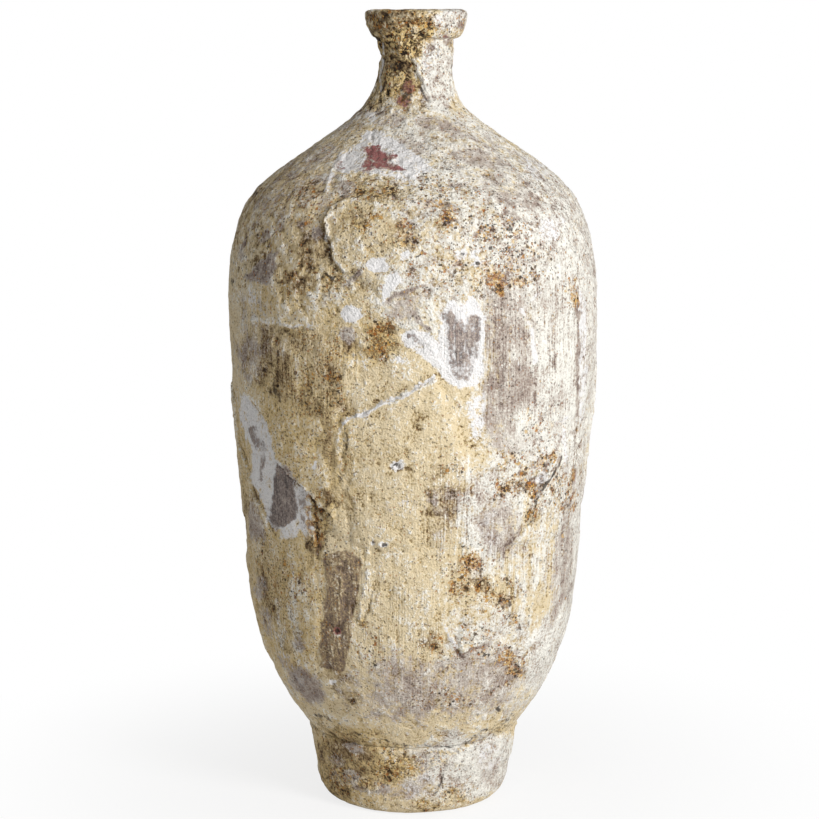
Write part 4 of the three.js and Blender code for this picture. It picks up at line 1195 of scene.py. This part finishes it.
def lay_coats(g, c, bare, grit):
    """Colour of the finishes that lie on one another, each a ramp from its hollows to its crests."""
    wear_and_shading, warm, mauve = g.wear_and_shading, g.mark("warm"), g.mark("mauve")
    coat = g.ramp(wear_and_shading, (0.04, c.umber), (0.23, c.khaki), (0.42, c.cream), (0.66, c.cream), (0.88, c.chalk))
    yellowed_and_shaded = g.ramp(wear_and_shading, (0.0, c.umber), (0.17, c.khaki), (0.35, c.straw), (0.61, c.cream), (0.9, c.chalk))
    stained = g.ramp(wear_and_shading, (0.12, c.soot), (0.3, c.umber), (0.47, c.taupe), (0.68, c.cream), (0.9, c.chalk))
    tanned = g.ramp(wear_and_shading, (0.12, c.soot), (0.3, c.umber), (0.5, c.khaki), (0.68, c.straw), (0.95, c.cream))
    browned = g.ramp(wear_and_shading, (0.12, c.soot), (0.38, c.umber), (0.64, c.taupe), (0.94, c.cream))
    washed_and_lit = g.ramp(wear_and_shading, (0.08, c.plum), (0.24, c.mauve), (0.39, c.lilac), (0.54, c.wash), (0.8, c.chalk))
    brushed = g.ramp(wear_and_shading, (0.08, c.umber), (0.36, c.plum), (0.64, c.taupe), (0.98, c.cream))
    clay = g.ramp(wear_and_shading, (0.06, c.plum), (0.42, c.mauve), (0.68, c.lilac), (0.92, c.chalk))
    white = g.ramp(g.calm, (0.0, c.mauve), (0.12, c.lilac), (0.28, c.slip), (0.9, c.slip))
    deep_clay = g.ramp(wear_and_shading, (0.1, c.soot), (0.46, c.plum), (0.78, c.mauve), (1.0, c.lilac))
    red = g.ramp(wear_and_shading, (0.0, c.plum), (0.3, c.wine), (0.72, c.wine), (0.9, c.mauve), (1.0, c.lilac))
    gritty = g.ramp(wear_and_shading, (0.18, c.soot), (0.28, c.umber), (0.34, c.khaki), (0.42, c.straw),
                    (0.66, c.straw), (0.9, c.cream))
    rusted = g.ramp(wear_and_shading, (0.06, c.soot), (0.24, c.umber), (0.38, c.rust), (0.54, c.ochre),
                    (0.74, c.cream), (0.96, c.chalk))

    # The warm mark lays yellowed coat, and painted shade on the shaded left.
    colour = g.over(warm, coat, yellowed_and_shaded, 0.2, 0.8)
    # Where the warm mark lies, stains take the tanned ramp, so there too the yellower tone is partly painted
    # shade.
    colour = g.over(g.stain, colour, g.mix(warm, stained, tanned), 0.24, 0.78, 1.0, 1.3)
    colour = g.over(g.stain, colour, browned, 0.74, 1.2, 0.8, 1.5)
    # The pale mark lays thin wash, and painted highlight on the lit right side.
    colour = g.over(g.mark("pale"), colour, washed_and_lit, 0.15, 0.55)
    colour = g.over(g.mark("band"), colour, brushed, 0.3, 0.75, 0.92, 0.8)
    colour = g.over(g.plus(mauve, bare), colour, clay, 0.24, 0.62)
    colour = g.over(g.mark("slip"), colour, white, 0.3, 0.74, 0.95, 1.4)
    colour = g.over(mauve, colour, deep_clay, 0.6, 1.0, 0.9, 1.3)
    colour = g.over(g.mark("wine"), colour, red, 0.36, 0.72)
    colour = g.over(g.plus(g.mark("crust"), grit), colour, gritty, 0.4, 0.8)
    return g.over(g.mark("rust"), colour, rusted, 0.5, 1.0, 0.76, 1.6)


def strew_specks(g, c, colour):
    """Add wrinkles in the crust, pale crumbs, then flecks and clots of soot and rust, crowded where rust is.

    Returns the colour, and how far the specks stand out.
    """
    crunch, crust, rusty, warm = g.mark("crunch"), g.mark("crust"), g.mark("rust"), g.mark("warm")
    scatter = g.blend_in((g.patchy, 0.4), (g.broad, 0.2))
    plain = g.minus(1.0, g.times(g.most(g.mark("slip"), g.mark("wine")), 0.75))

    wrinkle = g.maths("ABSOLUTE", g.blend_in((g.noise(4.4, 2, 0.55, seed=7), 1.0)))
    wrinkled = g.plus(g.times(crust, 0.7), g.times(crunch, 0.32))
    veins = g.times(g.times(g.step(wrinkle, 0.07, 0.02), wrinkled), plain)
    colour = g.mix(g.times(veins, 0.8), colour, g.ramp(g.wear_and_shading, (0.3, c.soot), (0.7, c.umber)))

    crumbs, _ = g.specks(1.2, g.plus(g.plus(-0.02, scatter), g.times(crunch, 0.16)), 1)
    crumbs = g.times(g.times(crumbs, plain), g.minus(0.8, g.times(g.most(crust, g.stain), 0.4)))
    # Where the warm mark lies, crumbs are straw and flecks crowd closer, following its painted shade on the
    # left as well as the yellowed coat.
    colour = g.mix(crumbs, colour, g.mix(warm, c.chalk, c.straw))

    chance = g.plus(g.times(g.most(crunch, warm), 0.13), g.times(rusty, 0.46))
    flecks, tone = g.specks(1.0, g.plus(g.plus(0.1, scatter), chance), 2, g.times(rusty, 0.06))
    flecks = g.times(flecks, plain)
    dirt = g.ramp(g.plus(tone, g.times(rusty, 0.25)),
                  (0.25, c.soot), (0.5, c.umber), (0.75, c.rust), (1.0, c.ochre))
    colour = g.mix(g.times(flecks, g.plus(0.6, g.times(crunch, 0.3))), colour, dirt)

    chance = g.plus(g.minus(scatter, 0.14), g.times(rusty, 0.66))
    clots, tone = g.specks(1.8, chance, 3, g.times(rusty, 0.08))
    clots = g.times(clots, plain)
    dirt = g.ramp(tone, (0.26, c.soot), (0.46, c.umber), (0.64, c.rust), (0.82, c.ochre), (0.95, c.cream))
    colour = g.mix(g.times(clots, 0.85), colour, dirt)
    sunk = g.most(g.most(flecks, clots), veins)
    return colour, g.minus(g.times(crumbs, 0.3), g.times(sunk, 0.4))


def weathered(name, colours, bare, grit):
    """Worn lime coat over clay, with painted shade and highlight at the slabs' broken edges and on the lit
    right and shaded left. Bare adds to the clay that shows, and grit to the crust.
    """
    g = Glaze(name)
    colour, specks = strew_specks(g, colours, lay_coats(g, colours, bare, grit))
    colour = g.over(g.mark("soot"), colour, colours.soot, 0.46, 0.8, 0.85)
    bump = g.node("ShaderNodeBump")
    g.feed(bump.inputs["Strength"], 0.9)
    g.feed(bump.inputs["Distance"], 1.2 * MM)
    g.feed(bump.inputs["Height"], g.plus(g.wear_and_shading, specks))
    shader = g.node("ShaderNodeBsdfPrincipled")
    g.feed(shader.inputs["Base Color"], colour)
    g.feed(shader.inputs["Roughness"], g.plus(0.82, g.times(g.crumb, 0.2)))
    g.feed(shader.inputs["Specular IOR Level"], 0.2)
    g.feed(shader.inputs["Normal"], bump.outputs[0])
    g.feed(g.node("ShaderNodeOutputMaterial").inputs["Surface"], shader.outputs[0])
    return g.material


# For each slot, what is added to the clay that shows, and to the crust.
SLOT_WEAR = {"bare_clay": (0.05, 0.02), "lime_coat": (0.0, 0.0), "ochre_crust": (0.0, 0.3)}


def finish_of(slot):
    """The finish for a material slot, made the first time it is asked for."""
    name = f"worn_{slot}"
    if name not in bpy.data.materials:
        weathered(name, bpy.context.scene.bottle_colours, *SLOT_WEAR[slot])
    return bpy.data.materials[name]


# Operators


class BOTTLE_OT_foot(Operator):
    """Turn the clay foot, with its worn bevel and the ledge that the floor lies on"""

    bl_idname = "bottle.foot"
    bl_label = "Foot"

    def execute(self, context):
        settings = context.scene.bottle_relief
        quarter = np.radians(np.linspace(0, 90, 13))
        bevel = np.stack([STANDING_RADIUS + BEVEL_WIDTH * np.sin(quarter),
                          BEVEL_HEIGHT * (1 - np.cos(quarter))], axis=1)
        top = STATIONS[0, 1]
        shoulder = rounded([(top - 0.6, FOOT_TOP - 5), (top + 0.4, FOOT_TOP - 1.6), (top - 1.4, FOOT_TOP)], 2)
        outer = evenly([*bevel, *shoulder], 0.85)
        wall = BODY_WALL / math.hypot(1, STATIONS[0, 2])
        inner = np.array([
            (top - wall, FOOT_TOP + wall * STATIONS[0, 2]), (FOOT_BORE, FOOT_TOP + 2),
            (FOOT_BORE, BORE_MIDDLE), (FOOT_BORE, LEDGE_HEIGHT), (STANDING_INNER, LEDGE_HEIGHT),
            (STANDING_INNER, 0), ((STANDING_INNER + STANDING_RADIUS) / 2, 0)])
        calm = 0.35 + 0.65 * ease(outer[:, 1], 0, 6)
        piece, hollow = worn_ring("foot_ring_worn", outer, line_normals(outer), inner, settings, calm)
        finish_piece(piece, "foot_ring", finish_of("bare_clay"), hollow)
        return {"FINISHED"}


class BOTTLE_OT_floor(Operator):
    """Shape the disc of clay that closes the bottom"""

    bl_idname = "bottle.floor"
    bl_label = "Floor disc"

    def execute(self, context):
        low, high = (np.array(corner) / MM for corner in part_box("base_disc"))
        radius = (high[0] - low[0]) / 2
        flat = radius - FLOOR_EDGE
        up = rounded([(flat, low[2]), (radius, low[2]), (radius, high[2]), (flat, high[2])], 2)
        rings = np.linspace(flat, POLE_RADIUS, 30)[1:]
        section = np.vstack([up, [(r, high[2]) for r in rings], [(r, low[2]) for r in rings[::-1]]])
        piece, _ = turn_section("base_disc_worn", section, 96)
        bpy.ops.object.mode_set(mode="EDIT")
        bpy.ops.mesh.select_all(action="SELECT")
        bpy.ops.mesh.remove_doubles(threshold=2.5 * POLE_RADIUS * MM)
        bpy.ops.mesh.delete_loose()
        bpy.ops.object.mode_set(mode="OBJECT")
        tidy_normals()
        points = read_points(piece)
        thrown = 0.3 * np.cos(np.hypot(points[:, 0], points[:, 1]) * 0.9)
        dished = waves(points, *FLOOR_LUMPS) + thrown
        points[:, 2] += dished * np.where(points[:, 2] > (low[2] + high[2]) / 2, 1, 0.3)
        points[:, 2] = np.maximum(points[:, 2], low[2])
        write_points(piece, points)
        finish_piece(piece, "base_disc", finish_of("bare_clay"))
        return {"FINISHED"}


class BOTTLE_OT_body(Operator):
    """Turn the three clay rings of the body"""

    bl_idname = "bottle.body"
    bl_label = "Body rings"

    def execute(self, context):
        settings = context.scene.bottle_relief
        walls = (BODY_WALL, BODY_WALL)
        for node, bottom, top, ends in (
            ("lower_ring", FOOT_TOP, LOWER_JOINT, walls),
            ("middle_ring", LOWER_JOINT, UPPER_JOINT, walls),
            ("shoulder_ring", UPPER_JOINT, NECK_ROOT, (BODY_WALL, NECK_WALL)),
        ):
            piece, hollow = body_ring(f"{node}_worn", bottom, top, ends, settings, settings.skin / MM)
            finish_piece(piece, node, finish_of("bare_clay"), hollow)
        return {"FINISHED"}


class BOTTLE_OT_neck(Operator):
    """Turn the clay neck"""

    bl_idname = "bottle.neck"
    bl_label = "Neck"

    def execute(self, context):
        settings = context.scene.bottle_relief
        step = 0.45 * settings.skin / MM
        walls = (NECK_WALL, NECK_WALL)
        piece, hollow = body_ring("neck_tube_worn", NECK_ROOT, NECK_TOP, walls, settings, step)
        finish_piece(piece, "neck_tube", finish_of("bare_clay"), hollow)
        return {"FINISHED"}


class BOTTLE_OT_lip(Operator):
    """Turn the flared lip with its flat top"""

    bl_idname = "bottle.lip"
    bl_label = "Lip"

    def execute(self, context):
        settings = context.scene.bottle_relief
        outer = evenly(rounded(LIP_SECTION, 2), 0.5)
        (outside, bottom), inside_radius = LIP_SECTION[0], LIP_SECTION[-1][0]
        inner = np.array([(inside_radius + 0.4, bottom - 0.1), (outside - 0.5, bottom - 0.1)])
        calm = 0.5 + 0.3 * fall(outer[:, 1], 412, 419)
        piece, hollow = worn_ring("lip_collar_worn", outer, line_normals(outer), inner, settings, calm)
        finish_piece(piece, "lip_collar", finish_of("bare_clay"), hollow)
        return {"FINISHED"}


class BOTTLE_OT_crust(Operator):
    """Model the lumpy ochre grit in the corner under the left of the lip"""

    bl_idname = "bottle.crust"
    bl_label = "Crust under the lip"

    def execute(self, context):
        left, right = CRUST_ARC
        bottom, (under, top) = NECK_TOP - CRUST_DROP, LIP_SECTION[1]
        low = side(np.array([bottom]))[0][0]
        face = evenly(rounded([(low - 0.6, bottom), (low + 1.6, NECK_TOP - 5), (under - 1.4, top - 1),
                               (under + 0.6, top + 3)], 3), 0.5)
        back = evenly([(under - 5, top + 3), (low - 4.6, NECK_TOP - 4), (low - 4.6, bottom)], 2)
        section = np.vstack([face, back])
        piece, place = turn_section("crust_under_lip_worn", section, 220, right - left)
        points = read_points(piece)
        # The section is turned from the right, so it is moved to the crust's own arc.
        turn = np.arctan2(points[:, 1], points[:, 0]) % math.tau
        radius = np.hypot(points[:, 0], points[:, 1])
        turn = turn + math.radians(left - 90)
        degrees = np.degrees(turn) + 90
        share = (degrees - left) / (right - left)
        taper = ease(share, 0, 0.16) * fall(share, 0.8, 1)
        points[:, 0], points[:, 1] = radius * np.cos(turn), radius * np.sin(turn)
        lumpy = waves(points, *CRUST_LUMPS)
        hangs = 2.6 * np.exp(-((degrees - CRUST_THICKEST) / CRUST_SPREAD) ** 2) - 1.9
        front = place < len(face)
        rise = np.where(front, np.maximum(lumpy + hangs - 3.2 * (1 - taper), -CRUST_SINK), 0)
        normals = np.vstack([line_normals(face), np.zeros((len(back), 2))])[place]
        points[:, :2] *= (1 + normals[:, 0] * rise / radius)[:, None]
        points[:, 2] += normals[:, 1] * rise
        write_points(piece, leaned(points))
        bpy.ops.object.mode_set(mode="EDIT")
        bpy.ops.mesh.select_all(action="DESELECT")
        bpy.ops.mesh.select_mode(type="EDGE")
        bpy.ops.mesh.select_non_manifold()
        bpy.ops.mesh.fill()
        bpy.ops.object.mode_set(mode="OBJECT")
        tidy_normals()
        finish_piece(piece, "crust_under_lip", finish_of("ochre_crust"))
        return {"FINISHED"}


class BOTTLE_OT_coat(Operator):
    """Lay the slabs of lime coat on every course"""

    bl_idname = "bottle.coat"
    bl_label = "Lime coat"

    def execute(self, context):
        settings = context.scene.bottle_relief
        for course, slabs in SLABS.items():
            for node, outline in slabs.items():
                piece = coat_slab(node, course, outline, settings)
                finish_piece(piece, node, finish_of("lime_coat"))
        return {"FINISHED"}


class BOTTLE_OT_stage(Operator):
    """Set the pale floor, the soft lamp, the even light and the camera"""

    bl_idname = "bottle.stage"
    bl_label = "Stage"

    def execute(self, context):
        scene = context.scene
        settings = scene.bottle_stage
        bpy.ops.object.select_all(action="DESELECT")
        bpy.ops.mesh.primitive_plane_add(size=12)
        floor = context.object
        floor.name = "stage_floor"
        floor.data.materials.append(floor_paper())

        bpy.ops.object.light_add(type="AREA", location=(0.95, -1.05, 0.8))
        key = context.object
        key.name = "key_lamp"
        key.data.shape = "DISK"
        key.data.size = 0.5
        key.data.energy = settings.key
        aim = key.location.copy()
        aim.z -= 0.24
        key.rotation_euler = aim.to_track_quat("Z", "Y").to_euler()

        world = bpy.data.worlds.new("stage_light")
        scene.world = world
        world.use_nodes = True
        nodes, links = world.node_tree.nodes, world.node_tree.links
        nodes.clear()
        level = nodes.new("ShaderNodeMix")
        links.new(seen_directly(nodes, links), level.inputs[0])
        level.inputs[2].default_value = settings.fill
        level.inputs[3].default_value = 1
        background = nodes.new("ShaderNodeBackground")
        background.inputs["Color"].default_value = (1, 1, 1, 1)
        links.new(level.outputs[0], background.inputs["Strength"])
        links.new(background.outputs[0], nodes.new("ShaderNodeOutputWorld").inputs["Surface"])

        bpy.ops.object.camera_add(
            location=(CAMERA_SIDE * MM, -CAMERA_AWAY * MM, CAMERA_HEIGHT * MM),
            rotation=(math.radians(90 - CAMERA_PITCH), 0, 0))
        camera = context.object
        camera.name = "stage_camera"
        camera.data.sensor_width = SENSOR_WIDTH
        camera.data.lens = settings.lens
        camera.data.clip_start = 0.01
        scene.camera = camera
        scene.view_settings.view_transform = "Standard"
        return {"FINISHED"}


def seen_directly(nodes, links):
    """1 for rays that show the background itself, straight or in a reflection."""
    path = nodes.new("ShaderNodeLightPath")
    total = path.outputs["Is Camera Ray"]
    for name in ("Is Glossy Ray", "Is Transmission Ray"):
        either = nodes.new("ShaderNodeMath")
        either.operation = "MAXIMUM"
        links.new(total, either.inputs[0])
        links.new(path.outputs[name], either.inputs[1])
        total = either.outputs[0]
    return total


def floor_paper():
    """White paper that keeps the shadow near the bottle and runs out to plain white."""
    material = bpy.data.materials.new("stage_paper")
    material.use_nodes = True
    nodes, links = material.node_tree.nodes, material.node_tree.links
    nodes.clear()
    place = nodes.new("ShaderNodeTexCoord")
    away = nodes.new("ShaderNodeVectorMath")
    away.operation = "LENGTH"
    links.new(place.outputs["Object"], away.inputs[0])
    plain = nodes.new("ShaderNodeMapRange")
    plain.interpolation_type = "SMOOTHSTEP"
    links.new(away.outputs["Value"], plain.inputs[0])
    for index, value in ((1, 0.06), (2, 0.3), (3, 0.8), (4, 1.0)):
        plain.inputs[index].default_value = value
    share = nodes.new("ShaderNodeMath")
    share.operation = "MULTIPLY"
    links.new(plain.outputs[0], share.inputs[0])
    links.new(seen_directly(nodes, links), share.inputs[1])
    paper = nodes.new("ShaderNodeBsdfDiffuse")
    paper.inputs["Color"].default_value = (0.9, 0.9, 0.9, 1)
    white = nodes.new("ShaderNodeEmission")
    white.inputs["Color"].default_value = (1, 1, 1, 1)
    both = nodes.new("ShaderNodeMixShader")
    links.new(share.outputs[0], both.inputs[0])
    links.new(paper.outputs[0], both.inputs[1])
    links.new(white.outputs[0], both.inputs[2])
    links.new(both.outputs[0], nodes.new("ShaderNodeOutputMaterial").inputs["Surface"])
    return material


STEPS = (BOTTLE_OT_foot, BOTTLE_OT_floor, BOTTLE_OT_body, BOTTLE_OT_neck, BOTTLE_OT_lip, BOTTLE_OT_crust,
         BOTTLE_OT_coat, BOTTLE_OT_stage)


class BOTTLE_PT_panel(Panel):
    """Builds the bottle piece by piece"""

    bl_idname = "BOTTLE_PT_panel"
    bl_label = "Clay Water Bottle"
    bl_space_type = "VIEW_3D"
    bl_region_type = "UI"
    bl_category = "Clay Bottle"

    def draw(self, context):
        scene = context.scene
        for group in (scene.bottle_relief, scene.bottle_colours, scene.bottle_stage):
            box = self.layout.box()
            for name in group.__annotations__:
                box.prop(group, name)
        for step in STEPS:
            self.layout.operator(step.bl_idname)


CLASSES = (BottleColours, BottleRelief, BottleStage, *STEPS, BOTTLE_PT_panel)


def register():
    for cls in CLASSES:
        bpy.utils.register_class(cls)
    bpy.types.Scene.bottle_colours = PointerProperty(type=BottleColours)
    bpy.types.Scene.bottle_relief = PointerProperty(type=BottleRelief)
    bpy.types.Scene.bottle_stage = PointerProperty(type=BottleStage)


def unregister():
    del bpy.types.Scene.bottle_stage
    del bpy.types.Scene.bottle_relief
    del bpy.types.Scene.bottle_colours
    for cls in reversed(CLASSES):
        bpy.utils.unregister_class(cls)


def main():
    register()
    bpy.ops.bottle.foot()
    bpy.ops.bottle.floor()
    bpy.ops.bottle.body()
    bpy.ops.bottle.neck()
    bpy.ops.bottle.lip()
    bpy.ops.bottle.crust()
    bpy.ops.bottle.coat()
    bpy.ops.bottle.stage()


if __name__ == "__main__":
    main()
